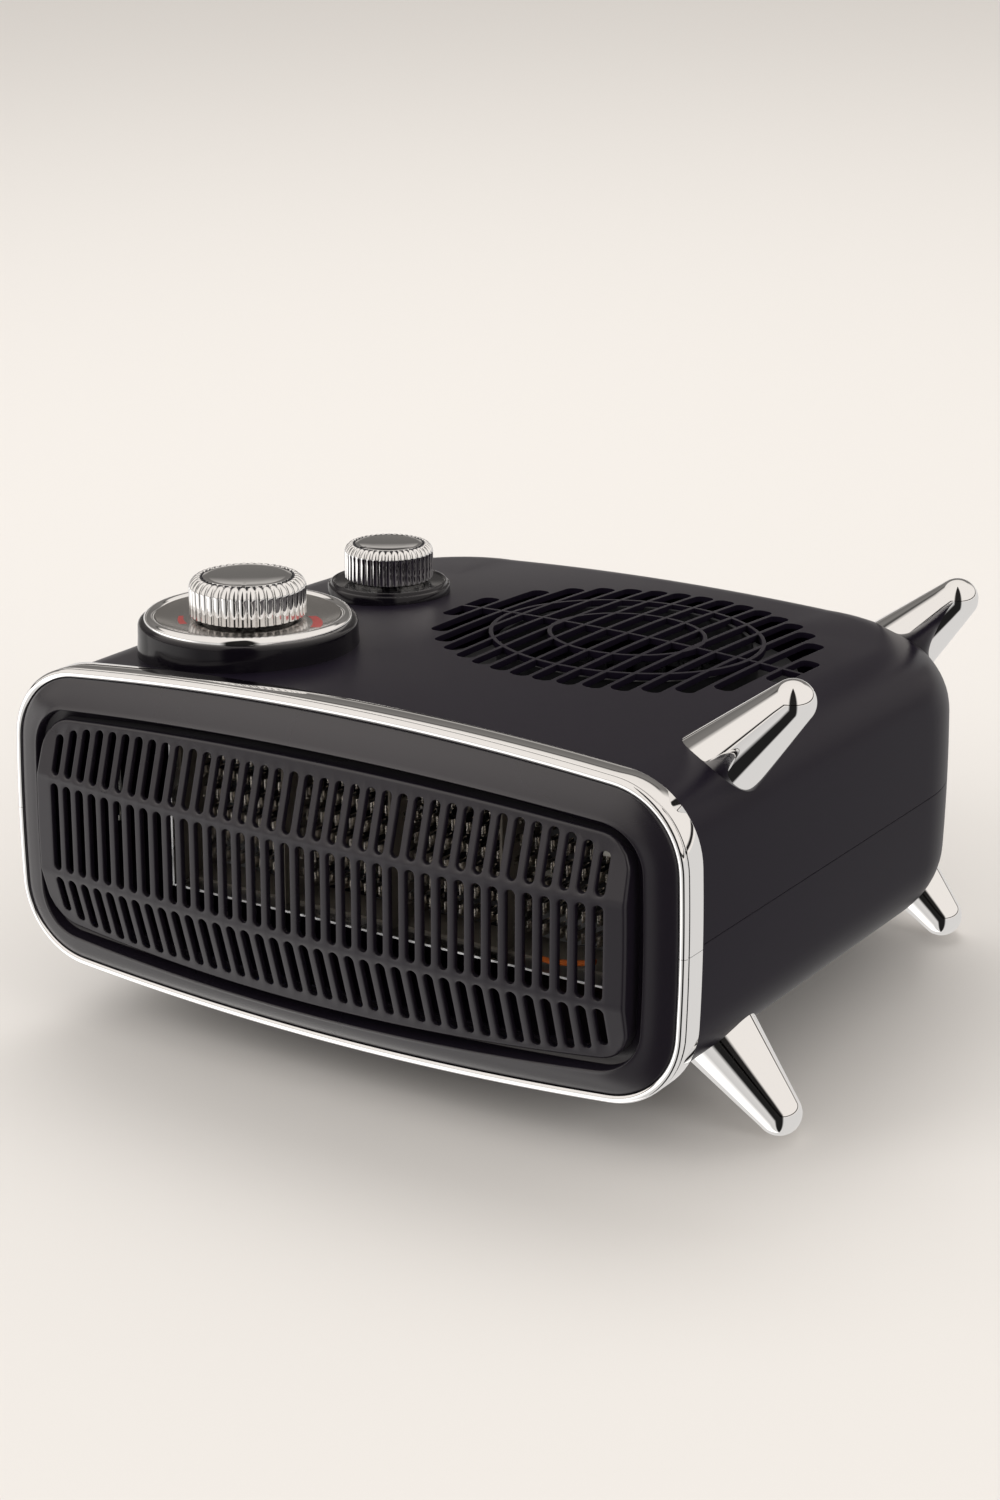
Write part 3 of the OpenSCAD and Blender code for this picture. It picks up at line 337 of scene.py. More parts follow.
front_w, front_h = 300, 132.6
bow_top, bow_side, corner_r = 8.6, 3, 32.4
top_r = ((front_w / 2) ** 2 + bow_top ** 2) / (2 * bow_top)
side_r = ((front_h / 2) ** 2 + bow_side ** 2) / (2 * bow_side)
top_c = np.array((0, front_h / 2 - top_r))
side_c = np.array((front_w / 2 - side_r, 0))
corner_c = circles_meet(top_c, top_r - corner_r, side_c, side_r - corner_r)


def heading(away):
    return math.atan2(away[1], away[0])


def front_arcs():
    """Centre, radius, first and last angle of the outline's arcs from the right-hand side to the top"""
    low, high = heading(corner_c - side_c), heading(corner_c - top_c)
    return ((side_c, side_r, 0, low), (corner_c, corner_r, low, high), (top_c, top_r, high, math.pi / 2))


arc_points = (14, 18, 44)


def upper_outline():
    """Points and outward ways along the upper half of the front outline, from right to left"""
    quarter = []
    for (centre, radius, first, last), steps in zip(front_arcs(), arc_points):
        for angle in np.linspace(first, last, steps, endpoint=False):
            way = np.array((math.cos(angle), math.sin(angle)))
            quarter.append((centre + radius * way, way))
    flip = np.array((-1, 1))
    top = (np.array((0, front_h / 2)), np.array((0, 1)))
    return quarter + [top] + [(point * flip, way * flip) for point, way in reversed(quarter)]


def smooth_step(t):
    t = min(max(t, 0), 1)
    return t * t * (3 - 2 * t)


case_step, case_wall = 2, 2.5
case_back, neck_front = 275, 4
rear_corner_r, rear_edge_r = 71, 32
fall_from, rear_fall = 110, 8
rear_corner_x = front_w / 2 - case_step - rear_corner_r
rear_corner_y = case_back - rear_corner_r


def fallen(y, up):
    """Share of its height that the case keeps at a place: the top falls away towards the rear"""
    t = max(y - fall_from, 0) / (case_back - fall_from)
    return 1 - (rear_fall / (front_h / 2) * t * t if up > 0 else 0)


def case_top(x, inset=0):
    """Height of the case over a place along the front"""
    x = abs(x)
    for centre, radius, first, _ in reversed(front_arcs()):
        reach = radius - case_step - inset
        if x <= centre[0] + reach * math.cos(first) + 1e-9:
            return centre[1] + math.sqrt(max(reach ** 2 - (x - centre[0]) ** 2, 0))
    return 0


seam_depth, seam_half = 0.4, 0.22


def with_seam(line, inset):
    """The profile with half of the fine groove that shows where the two mouldings meet"""
    reach = line[0][0]
    return np.array([(reach - (seam_depth if inset == 0 else 0), 0), (reach, seam_half), *line[1:]])


wall_points, edge_points, flat_points = 8, 16, 26


def side_profile(inset):
    """From the seam up the side and in over the top: (distance from the rear corner's axis, height)"""
    line = []
    inner = math.acos(rear_corner_x / (top_r - case_step - inset))
    for (centre, radius, first, last), steps in zip(front_arcs(), (wall_points, edge_points, flat_points)):
        over_top = steps == flat_points
        for angle in np.linspace(first, inner if over_top else last, steps, endpoint=over_top):
            reach = radius - case_step - inset
            x, z = centre + reach * np.array((math.cos(angle), math.sin(angle)))
            line.append((x - rear_corner_x, z))
    return with_seam(line, inset)


def rear_profile(inset, x):
    """The same round the back: upright wall, rolled edge, then flat"""
    top = case_top(x, inset)
    edge_r = rear_edge_r - inset
    reach = rear_corner_r - inset
    line = [(reach, z) for z in np.linspace(0, top - edge_r, wall_points, endpoint=False)]
    for angle in np.linspace(0, math.pi / 2, edge_points, endpoint=False):
        line.append((reach - edge_r + edge_r * math.cos(angle), top - edge_r + edge_r * math.sin(angle)))
    line += [(r, top) for r in np.linspace(reach - edge_r, 0, flat_points)]
    return with_seam(line, inset)


def corner_profile(angle, inset):
    """The same on the way round a rear corner"""
    side, rear = side_profile(inset), rear_profile(inset, rear_corner_x)
    share = smooth_step(angle / (math.pi / 2))
    return side * (1 - share) + rear * share


along_side = np.linspace(neck_front, rear_corner_y, 36)
round_corner = np.linspace(0, math.pi / 2, 22, endpoint=False)
half_back = np.linspace(rear_corner_x, 0, 11)
whole_back = [*half_back, *(-x for x in reversed(half_back[:-1]))]


def case_half(inset, up):
    """Rows of one half's skin, from the front along the right side, round the back and forward again"""
    side = side_profile(inset)
    rows = [[(rear_corner_x + r, y, z) for r, z in side] for y in along_side[:-1]]
    for angle in round_corner:
        rows.append([
            (rear_corner_x + r * math.cos(angle), rear_corner_y + r * math.sin(angle), z)
            for r, z in corner_profile(angle, inset)
        ])
    for x in (*half_back[:-1], 0):
        rows.append([(x, rear_corner_y + r, z) for r, z in rear_profile(inset, x)])
    rows = [[(x, y, up * z * fallen(y, up)) for x, y, z in row] for row in rows]
    return rows + [[(-x, y, z) for x, y, z in row] for row in reversed(rows[:-1])]


def case_skin(inset, up):
    """A half's whole skin: the rows round its edge and the patch that they enclose"""
    patch = [[(x, y, up * case_top(x, inset) * fallen(y, up)) for x in whole_back] for y in along_side]
    return joined(grid(case_half(inset, up)), grid(patch))


def front_edge(inset, up):
    """The skin's edge at the front, from the right-hand seam to the left-hand one"""
    rows = case_half(inset, up)
    return [*rows[0], *((x, neck_front, up * case_top(x, inset)) for x in whole_back), *reversed(rows[-1])]


def case_solid(up):
    """A half with its wall: both skins, joined along the seam and the front"""
    skins = (0, case_wall)
    seam = grid([[row[0] for row in case_half(inset, up)] for inset in skins])
    front = grid([front_edge(inset, up) for inset in skins])
    return joined(*(case_skin(inset, up) for inset in skins), seam, front)


def surface_height(x, y):
    """Height of the case's upper skin over a place in plan"""
    x = abs(x)
    if y <= rear_corner_y:
        return case_top(x) * fallen(y, 1)
    if x <= rear_corner_x:
        profile, reach = rear_profile(0, x), y - rear_corner_y
    else:
        reach = math.hypot(x - rear_corner_x, y - rear_corner_y)
        profile = corner_profile(math.atan2(y - rear_corner_y, x - rear_corner_x), 0)
    return float(np.interp(reach, profile[:1:-1, 0], profile[:1:-1, 1])) * fallen(y, 1)


def cut(part, tool):
    """Takes the tool's solid out of the part"""
    difference = part.modifiers.new("cut", "BOOLEAN")
    difference.operation, difference.solver, difference.object = "DIFFERENCE", "EXACT", tool
    settled(part)
    bpy.data.objects.remove(tool)
    smoothed(part.data)


def settled(part):
    """The part's mesh with its modifiers in it"""
    graph = bpy.context.evaluated_depsgraph_get()
    mesh = bpy.data.meshes.new_from_object(part.evaluated_get(graph))
    part.modifiers.clear()
    part.data = mesh


upper_case = solid("upper_case_skin", *case_solid(1), case_plastic, sharp=40)
lower_case = solid("lower_case_skin", *case_solid(-1), case_plastic, sharp=40)
fit(lower_case, "case", "black_plastic", "lower_case")


# The chrome rim is two mouldings that slide over the case's neck and meet at mid height.
# Each has a thin bright bead along the front, a fine line behind it, and a flat band.
def chrome_finish(name, tint=(0.92, 0.92, 0.92), roughness=0.035):
    material, tree, shader = material_nodes(name)
    haze = noise(tree, Scale=35, Detail=4)
    gloss = add_node(tree, "ShaderNodeMapRange", haze, From_Min=0.35, From_Max=0.75)
    set_up(tree, gloss, To_Min=roughness * 0.7, To_Max=roughness * 1.8)
    set_up(tree, shader, Metallic=1, Base_Color=(*tint, 1), Roughness=gloss.outputs[0])
    return material


chrome = chrome_finish("bright_chrome")
rim_joint = 0.08
rim_profile = (
    (1.9, 12.3), (0.35, 12.3), (0.1, 12.15), (0, 11.8), (0, 3.1), (0.12, 2.8), (0.55, 2.6), (0.6, 2.2),
    (0.2, 2.0), (0, 1.6), (0, 0.9), (0.3, 0.25), (0.85, -0.25), (1.6, -0.5), (2.4, -0.35), (3.0, 0.05),
    (3.2, 0.6), (3.2, 1.8), (1.9, 1.9),
)


def half_rim(up):
    """The profile's (inset, depth) pairs carried along half of the outline"""
    return capped([
        [(p[0] - inset * w[0], y, up * max(p[1] - inset * w[1], rim_joint)) for inset, y in rim_profile]
        for p, w in upper_outline()
    ])


for up, name in ((1, "rim_upper"), (-1, "rim_lower")):
    fit(solid(name + "_chrome", *half_rim(up), chrome, sharp=30), "case", "chrome", name)


# The bezel is one black moulding inside the rim. It slopes forward to a soft lip that stands
# proudest at the top and bottom, and a deep groove lies between it and the grille panel.
border_w, groove_w = 14.8, 3.7
lip_front, lip_fall, lip_reach = -10, 4.5, 136
bezel_back, bezel_flange, slope_from = 1.9, 21.6, 3.7


def bezel_profile(x):
    """(inset, depth) pairs from the rim over the lip and down the groove to the flange"""
    lip = lip_front + lip_fall * (x / lip_reach) ** 2
    slope = [
        (slope_from + t * (border_w - slope_from), lip * t - 0.7 * math.sin(math.pi * t))
        for t in np.linspace(0.03, 0.93, 9)
    ]
    return [
        (3.35, bezel_back), (3.35, 0.8), (3.5, 0.25), *slope, (14.25, lip + 0.02), (14.6, lip + 0.3),
        (border_w, lip + 0.75), (border_w, -0.2), (15.0, 0), (bezel_flange, 0), (bezel_flange, bezel_back),
    ]


def full_outline():
    upper = upper_outline()[:-1]
    return upper + [(-point, -way) for point, way in upper]


bezel_rows = [
    [(p[0] - inset * w[0], y, p[1] - inset * w[1]) for inset, y in bezel_profile(p[0])]
    for p, w in full_outline()
]
bezel = solid("bezel_moulding", *grid(bezel_rows, around=True, along=True), front_plastic, sharp=50)
fit(bezel, "case", "black_plastic", "front_bezel")


# The grille panel is a moulding that bows forward and folds back above and below its middle
# row. It has three rows of upright slots with round ends, whose edges are eased, and its own
# edge rolls back into the groove.
grille_front, grille_bow, row_slope = -17.9, 0.00047, 0.30
bar_z, bar_h = 19.2, 3.1
slot_columns, slot_pitch, slot_w = 37, 6.73, 3.9
field_h, field_a, field_power = 43, 130, 6
panel_inset, panel_roll, panel_wall = border_w + groove_w, 1.5, 2.4
skirt_wall, skirt_back = 0.3, -0.05
slot_easing = ((0.45, 0), (0.16, 0.07), (0, 0.3), (0, panel_wall))


def grille_face(x, z):
    """How far forward the panel's face stands"""
    return grille_front + grille_bow * x * x + row_slope * max(abs(z) - bar_z, 0)


def field_end(x):
    return field_h * (1 - (abs(x) / field_a) ** field_power) ** (1 / field_power)


def outline_top(x, inset):
    """Point and outward way of the inset outline's upper side over a place along the front"""
    for centre, radius, first, _ in reversed(front_arcs()):
        reach = radius - inset
        if abs(x) <= centre[0] + reach * math.cos(first):
            z = centre[1] + math.sqrt(reach ** 2 - (abs(x) - centre[0]) ** 2)
            way = np.array((abs(x) - centre[0], z - centre[1])) / reach
            return np.array((x, z)), np.array((math.copysign(way[0], x), way[1]))


def outline_side(z, inset):
    """The same of its right-hand side at a height"""
    for centre, radius, _, last in front_arcs():
        reach = radius - inset
        if abs(z) <= centre[1] + reach * math.sin(last):
            x = centre[0] + math.sqrt(reach ** 2 - (abs(z) - centre[1]) ** 2)
            way = np.array((x - centre[0], abs(z) - centre[1])) / reach
            return np.array((x, z)), np.array((way[0], math.copysign(way[1], z)))


panel_edge = panel_inset + panel_roll
slot_r = slot_w / 2
half_pitch = slot_pitch / 2
field_edge_x = slot_columns * half_pitch
arc_steps, side_steps = 8, 7


def top_edge(x):
    return outline_top(x, panel_edge)[0][1]


grille_rows = (
    (lambda x: -top_edge(x), lambda x: -field_end(x), lambda x: -bar_z - bar_h / 2, lambda x: -bar_z),
    (lambda x: -bar_z, lambda x: -bar_z + bar_h / 2, lambda x: bar_z - bar_h / 2, lambda x: bar_z),
    (lambda x: bar_z, lambda x: bar_z + bar_h / 2, field_end, top_edge),
)


def slot_loop(x, low, high, grow):
    """A round-ended slot's outline, from its upper right over the top and round"""
    reach = slot_r + grow
    centre_low, centre_high = low(x) + slot_r, high(x) - slot_r
    loop = [
        (x + reach * math.cos(a), centre_high + reach * math.sin(a))
        for a in np.linspace(0, math.pi, arc_steps + 1)
    ]
    loop += [(x - reach, z) for z in np.linspace(centre_high, centre_low, side_steps + 2)[1:-1]]
    loop += [
        (x + reach * math.cos(a), centre_low + reach * math.sin(a))
        for a in np.linspace(math.pi, 2 * math.pi, arc_steps + 1)
    ]
    return loop + [(x + reach, z) for z in np.linspace(centre_low, centre_high, side_steps + 2)[1:-1]]


def side_heights(x, row):
    """Heights of a cell's corners and the points between them along one of the lines between columns"""
    bottom, low, high, top = (limit(x) for limit in row)
    upper, lower = high - slot_r, low + slot_r
    straight = list(np.linspace(lower, upper, side_steps + 2))
    return [bottom, (bottom + lower) / 2, *straight, (top + upper) / 2, top]


def cell_loop(x, row):
    """The cell's own outline, with a point for each of the slot's"""
    bottom, _, _, top = row
    right, left = side_heights(x + half_pitch, row), side_heights(x - half_pitch, row)
    across = [x + half_pitch * t for t in (0.5, 0, -0.5)]
    loop = [(x + half_pitch, z) for z in right[-3:]] + [(u, top(u)) for u in across]
    loop += [(x - half_pitch, z) for z in reversed(left)]
    loop += [(u, bottom(u)) for u in reversed(across)]
    return loop + [(x + half_pitch, z) for z in right[:-3]]


def on_face(line, depth):
    return [(x, grille_face(x, z) + depth, z) for x, z in line]


def slot_cell(x, row):
    """One slot with the part of the panel round it, front and back"""
    _, low, high, _ = row
    loops = [on_face(cell_loop(x, row), 0)]
    loops += [on_face(slot_loop(x, low, high, grow), depth) for grow, depth in slot_easing]
    loops.append(on_face(cell_loop(x, row), panel_wall))
    return grid(loops, around=True)


def edge_heights():
    """Heights of the points along the panel's ends, from the bottom up"""
    return [-top_edge(field_edge_x), *(z for row in grille_rows for z in side_heights(field_edge_x, row)[1:])]


def panel_border():
    """Points round the panel's edge with their outward ways, from the lower right upwards and round"""
    right = [outline_side(z, panel_edge) for z in edge_heights()[1:-1]]
    across = np.linspace(field_edge_x, -field_edge_x, 4 * slot_columns + 1)
    upper = [outline_top(x, panel_edge) for x in across]
    left = [(point * (-1, 1), way * (-1, 1)) for point, way in reversed(right)]
    lower = [(point * (1, -1), way * (1, -1)) for point, way in reversed(upper)]
    return right + upper + left + lower


def grille_edge():
    """The rolled edge and the skirt that stands in the bezel"""
    border = panel_border()
    rings = []
    for angle in np.linspace(0, math.pi / 2, 7):
        out, depth = panel_roll * math.sin(angle), panel_roll * (1 - math.cos(angle))
        rings.append([(*(p + out * w), grille_face(*p) + depth) for p, w in border])
    for out in (panel_roll, -skirt_wall):
        rings.append([(*(p + out * w), skirt_back) for p, w in border])
    rings.append([(*p, grille_face(*p) + panel_wall) for p, w in border])
    return grid([[(x, y, z) for x, z, y in ring] for ring in rings], around=True)


def end_strip(side, depth):
    """The narrow part of the face between the last column and the panel's edge"""
    heights = edge_heights()
    inner = on_face([(side * field_edge_x, z) for z in heights], depth)
    outer = []
    for z in heights:
        x = outline_side(z, panel_edge)[0][0]
        outer.append((side * x, grille_face(x, z) + depth, z))
    return grid([inner, outer])


columns = [(i - (slot_columns - 1) / 2) * slot_pitch for i in range(slot_columns)]
cells = [slot_cell(x, row) for x in columns for row in grille_rows]
strips = [end_strip(side, depth) for side in (-1, 1) for depth in (0, panel_wall)]
grille = solid("grille_panel", *joined(grille_edge(), *strips, *cells), front_plastic, sharp=40)
fit(grille, "case", "black_plastic", "outlet_grille")


# The intake grille is moulded in the upper half, flush with its skin. Straight slots with
# round ends fill a circle over the fan, and one cross rib and two ring ribs tie their bars.
intake_r, intake_pitch, intake_rib, slot_end_r = 75.5, 9.8, 1.6, 3.4
ring_radii = (30.8, 54)
core_low, core_high = 30, 80
rib_low, rib_high = core_low - 5, core_high + 5
slot_count, smallest_core = 16, 8


def slot_core(across):
    """An upright core for the slot whose middle lies so far across the circle"""
    half_w = (intake_pitch - intake_rib) / 2
    half_l = math.sqrt(intake_r ** 2 - across ** 2)
    outline = []
    for quarter, (side, end) in enumerate(((1, 1), (-1, 1), (-1, -1), (1, -1))):
        for turn in np.linspace(0, math.pi / 2, 6):
            angle = quarter * math.pi / 2 + turn
            outline.append((
                intake_x + across + side * (half_w - slot_end_r) + slot_end_r * math.cos(angle),
                intake_y + end * (half_l - slot_end_r) + slot_end_r * math.sin(angle),
            ))
    return capped([[(x, y, z) for x, y in outline] for z in (core_low, core_high)])


def ring_tube(radius, steps=144):
    """A tube about the intake's axis, as thick as a rib"""
    inner, outer = radius - intake_rib / 2, radius + intake_rib / 2
    walls = ((outer, rib_low), (outer, rib_high), (inner, rib_high), (inner, rib_low))
    turns = np.linspace(0, 2 * math.pi, steps, endpoint=False)
    return grid([
        [(intake_x + r * math.cos(a), intake_y + r * math.sin(a), z) for a in turns] for r, z in walls
    ], around=True, along=True)


def block(x0, x1, y0, y1, z0, z1):
    points = [(x, y, z) for x in (x0, x1) for y in (y0, y1) for z in (z0, z1)]
    return points, [(0, 1, 3, 2), (4, 6, 7, 5), (0, 4, 5, 1), (2, 3, 7, 6), (0, 2, 6, 4), (1, 5, 7, 3)]


def islands(shape):
    """Lists of the faces that hang together"""
    left, found = set(shape.faces), []
    while left:
        waiting, group = [left.pop()], []
        while waiting:
            face = waiting.pop()
            group.append(face)
            for other in (other for edge in face.edges for other in edge.link_faces):
                if other in left:
                    left.remove(other)
                    waiting.append(other)
        found.append(group)
    return found


def drop_slivers(part, smallest):
    """Leaves out the cores whose top is smaller than an area, which no mould would have"""
    shape = bmesh.new()
    shape.from_mesh(part.data)
    axis = (at_rest.to_3x3() @ Vector((0, 0, 1))).normalized()
    for group in islands(shape):
        both_ends = sum(face.calc_area() for face in group if abs(face.normal.dot(axis)) > 0.99)
        if both_ends / 2 < smallest * MM * MM:
            bmesh.ops.delete(shape, geom=group, context="FACES")
    shape.to_mesh(part.data)
    shape.free()
    cleaned(part.data, 0.03)


slot_middles = [(k + 0.5) * intake_pitch for k in range(-slot_count // 2, slot_count // 2)]
slot_cores = solid("slot_cores", *joined(*(slot_core(across) for across in slot_middles)), case_plastic)
bar_reach, bar_half = intake_r + 14.5, intake_rib / 2
cross_bar = block(
    intake_x - bar_reach, intake_x + bar_reach, intake_y - bar_half, intake_y + bar_half, rib_low, rib_high
)
cut(slot_cores, solid("cross_bar", *cross_bar, case_plastic))
for radius in ring_radii:
    cut(slot_cores, solid("ring_rib", *ring_tube(radius), case_plastic))
drop_slivers(slot_cores, smallest_core)
cut(upper_case, slot_cores)
fit(upper_case, "case", "black_plastic", "upper_case")


# Both controls stand on black collars that are moulded round their spindles. The thermostat's
# carries the chrome ring and the dished scale, and the switch's is a plain stepped disc.
control_x, dial_y, switch_y = 81, 61.4, 158.5
dial_top, collar_sunk = 73, 1.2


def lathe(profile, centre, steps=144, foot=None):
    """A shape turned about an upright axis, which the profile starts and ends on unless it is a ring's.
    A height of None is taken from foot at each place."""
    rows = []
    for angle in np.linspace(0, 2 * math.pi, steps, endpoint=False):
        line = []
        for r, z in profile:
            x, y = centre[0] + r * math.cos(angle), centre[1] + r * math.sin(angle)
            line.append((x, y, z if z is not None else foot(x, y)))
        rows.append(line)
    return grid(rows, around=profile[0][0] > 0, along=True)


def under_skin(x, y):
    return surface_height(x, y) - collar_sunk


dial_centre, switch_centre = (-control_x, dial_y), (-control_x, switch_y)
dial_collar_profile = (
    (0, 73), (35, 73), (41.2, 73), (41.9, 72.9), (42.5, 72.5), (42.85, 71.9), (43, 71.2),
    (43.1, 67), (43.6, None), (40.5, None), (40, 69), (39, 71.5), (0, 71.5),
)
switch_collar_profile = (
    (0, 66.2), (22.2, 66.2), (22.6, 66.3), (22.9, 66.8), (23.4, 67.05), (23.9, 66.9), (24.2, 66.4),
    (24.4, 65.8), (25.2, 65.5), (25.5, 65), (25.6, None), (23.5, None), (23, 65), (0, 65),
)
for name, node, profile, centre in (
    ("thermostat_dish", "thermostat_collar", dial_collar_profile, dial_centre),
    ("switch_dish", "function_collar", switch_collar_profile, switch_centre),
):
    collar = solid(name, *lathe(profile, centre, foot=under_skin), gloss_plastic)
    fit(collar, "case", "black_plastic", node)


# The dial ring is a plated half-round hoop pressed onto the collar. The scale inside it is a
# dished silver disc, printed with a red wedge that widens towards hot and a small red patch.
hoop_arc = np.linspace(0.25, math.pi - 0.1, 19)
ring_profile = [
    (36.1, 73.02), (36.1, 74.0), *((38.4 - 2.3 * math.cos(a), 73.6 + 1.9 * math.sin(a)) for a in hoop_arc),
    (40.7, 73.02),
]
fit(solid("dial_hoop", *lathe(ring_profile, dial_centre, steps=180), chrome), "case", "chrome", "dial_ring")
dial_silver, silver_tree, silver_shader = material_nodes("dial_silver")
silver = (0.68, 0.66, 0.64)
silver_place = add_node(silver_tree, "ShaderNodeTexCoord").outputs["Object"]
from_axis = add_node(silver_tree, "ShaderNodeMapping", silver_place)
set_up(silver_tree, from_axis, Location=-(at_rest @ Vector((-control_x, dial_y, dial_top))))
distance = add_node(silver_tree, "ShaderNodeVectorMath", from_axis.outputs[0], operation="LENGTH")
turned_grain = add_node(silver_tree, "ShaderNodeTexNoise", noise_dimensions="1D", Detail=3, Scale=1800)
set_up(silver_tree, turned_grain, W=distance.outputs["Value"])
silver_tone = mixed(silver_tree, turned_grain.outputs["Fac"], shade_of(silver, 0.8), shade_of(silver, 1.15))
set_up(silver_tree, silver_shader, Metallic=1, Roughness=0.16, Base_Color=silver_tone)
scale_profile = (
    (0, 73.4), (23.9, 73.4), (27, 73.5), (31, 73.8), (34.4, 74.25), (36.05, 74.6), (36.05, 73.02), (0, 73.02),
)
scale_dish = solid("scale_dish", *lathe(scale_profile, dial_centre, steps=180), dial_silver)
fit(scale_dish, "case", "dial", "dial_scale")


def scale_height(r):
    """Height of the dished scale at a radius"""
    face = scale_profile[1:6]
    return float(np.interp(r, [r for r, z in face], [z for r, z in face]))


def paint(name, colour, roughness=0.4):
    """Ink, glaze or painted shade, slightly uneven"""
    material, tree, shader = material_nodes(name)
    tone = mixed(tree, noise(tree, Scale=400, Detail=2), shade_of(colour, 0.9), shade_of(colour, 1.1))
    set_up(tree, shader, Roughness=roughness, Base_Color=tone)
    return material


def printed(first, last, inner, outer, steps, lift=0.03):
    """A patch printed on the scale between two angles; inner and outer give its radii along it"""
    below, above = [], []
    for t in np.linspace(0, 1, steps):
        angle = math.radians(first + (last - first) * t)
        for rows, height in ((below, -0.02), (above, lift)):
            rows.append([
                (-control_x + r * math.cos(angle), dial_y + r * math.sin(angle), scale_height(r) + height)
                for r in np.linspace(inner(t), outer(t), 6)
            ])
    return capped([lower + upper[::-1] for lower, upper in zip(below, above)])


red_ink = paint("red_ink", (0.36, 0.05, 0.045))
hot_wedge = printed(33, -1, lambda t: 23.2 + 7 * t, lambda t: 26.5 + 8.5 * t, 24)
cold_wedge = printed(-148, -122, lambda t: 25.2, lambda t: 27 + 1.2 * t, 12)
fit(solid("printed_wedges", *joined(hot_wedge, cold_wedge), red_ink), "case", "dial")


# Each knob is a plated moulding with forty flutes that run up its side and over its shoulder
# to a dished top. Small black pips between the flutes' ends are painted shade in the dark
# valleys there, and one notch points.
def copier(name, *vectors):
    """A Geometry Nodes tree that sets copies of its mesh on points, as one mesh of one material"""
    tree = bpy.data.node_groups.new(name, "GeometryNodeTree")
    kinds = [("Geometry", "Geometry"), ("Count", "Int"), *((label, "Vector") for label in vectors)]
    for label, kind in (*kinds, ("Material", "Material")):
        tree.interface.new_socket(label, in_out="INPUT", socket_type="NodeSocket" + kind)
    tree.interface.new_socket("Geometry", in_out="OUTPUT", socket_type="NodeSocketGeometry")
    given = tree.nodes.new("NodeGroupInput").outputs
    copies = add_node(tree, "GeometryNodeInstanceOnPoints", Instance=given["Geometry"])
    real = add_node(tree, "GeometryNodeRealizeInstances", copies.outputs[0])
    painted = add_node(tree, "GeometryNodeSetMaterial", real.outputs[0], Material=given["Material"])
    tree.links.new(painted.outputs[0], tree.nodes.new("NodeGroupOutput").inputs[0])
    return tree, given, copies


def grown(part, tree, **values):
    """Runs the tree on the part and makes it a plain mesh"""
    modifier = part.modifiers.new(tree.name, "NODES")
    modifier.node_group = tree
    for item in tree.interface.items_tree:
        if item.in_out == "INPUT" and item.name in values:
            modifier[item.identifier] = values[item.name]
    settled(part)


def set_in_place(part, place, sharp=35, turned=Matrix.Identity(4)):
    """Turns a part drawn about zero and moves it to its place in the level frame"""
    part.data.transform(at_rest @ Matrix.Translation(Vector(place)) @ turned)
    cleaned(part.data, 0.002, holes=True)
    smoothed(part.data, sharp)


row_tree, given, copies = copier("row_of_copies", "Step")
line = add_node(row_tree, "GeometryNodeMeshLine", Count=given["Count"], Offset=given["Step"])
set_up(row_tree, copies, Points=line.outputs[0])
round_tree, given, copies = copier("round_copies")
points = add_node(round_tree, "GeometryNodePoints", Count=given["Count"])
index = add_node(round_tree, "GeometryNodeInputIndex")
share = add_node(round_tree, "ShaderNodeMath", index.outputs[0], given["Count"], operation="DIVIDE")
angle = add_node(round_tree, "ShaderNodeMath", share.outputs[0], 2 * math.pi, operation="MULTIPLY")
turn = add_node(round_tree, "ShaderNodeCombineXYZ", Z=angle.outputs[0])
set_up(round_tree, copies, Points=points.outputs[0], Rotation=turn.outputs[0])
flutes, flute_rise, flute_root, flute_foot = 40, 1.25, 0.4, 0.6
flute_end, fade_from, fade_over = 86, 66, 21
knob_top_share, pip_gap = 0.77, 0.35
notch_half, notch_length, notch_depth = 0.7, 2.8, 1.5
# A black for the knobs' pips, which are painted shade in the valleys between the flutes' ends.
painted_shade_black = paint("painted_shade_black", (0.03, 0.03, 0.035))


def knob_core(r, top_r, h):
    """Profile of a knob without its flutes, from the top's middle down the outside and up inside"""
    core = r - flute_rise
    shoulder = core - top_r
    line = [
        (0, h - 0.8), (top_r * 0.5, h - 0.72), (top_r * 0.85, h - 0.5), (top_r - 0.5, h - 0.35),
        (top_r - 0.25, h - 0.45), (top_r - 0.1, h - 1.4),
    ]
    line += [
        (top_r + shoulder * math.sin(a), h - flute_rise - shoulder + shoulder * math.cos(a) - 0.1)
        for a in np.linspace(0.12, math.pi / 2, 9)
    ]
    foot = [(core, 1.1), (core - 0.2, 0.5), (core - 0.7, 0.1), (core - 2.5, 0), (core - 2.5, 2), (0, 2)]
    return line + foot


def flute(r, top_r, h):
    """One rib up the side and over the shoulder to the top's edge, where it ends round"""
    core = r - flute_rise
    shoulder = core - top_r
    path = [(core, z, 1, 0, 1) for z in np.linspace(flute_foot, h - flute_rise - shoulder, 6)]
    for a in np.linspace(0, flute_end, 13)[1:]:
        out, up = math.cos(math.radians(a)), math.sin(math.radians(a))
        fade = math.sqrt(1 - (max(a - fade_from, 0) / fade_over) ** 2) * (1 - 0.12 * up)
        z = h - flute_rise - shoulder + shoulder * up
        path.append((top_r + 0.15 + shoulder * out, z, out, up, fade))
    rows = []
    for place, z, out, up, fade in path:
        half_width = math.pi * place / flutes * 0.95 * (0.6 + 0.4 * fade)
        row = []
        for t in np.linspace(0, math.pi, 11):
            across, rise = half_width * math.cos(t), flute_rise * fade * math.sin(t) ** 0.7
            row.append((place + out * rise, across, z + up * rise))
        root = place - flute_root * out, z - flute_root * up
        rows.append(row + [(root[0], side * half_width * 0.7, root[1]) for side in (-1, 1)])
    rows[0] = [(x * 0.3 + (core - 0.4) * 0.7, y * 0.6, z - 0.3) for x, y, z in rows[0]]
    rows.insert(1, [(x, y, 1.0) for x, y, z in rows[1]])
    return capped(rows)


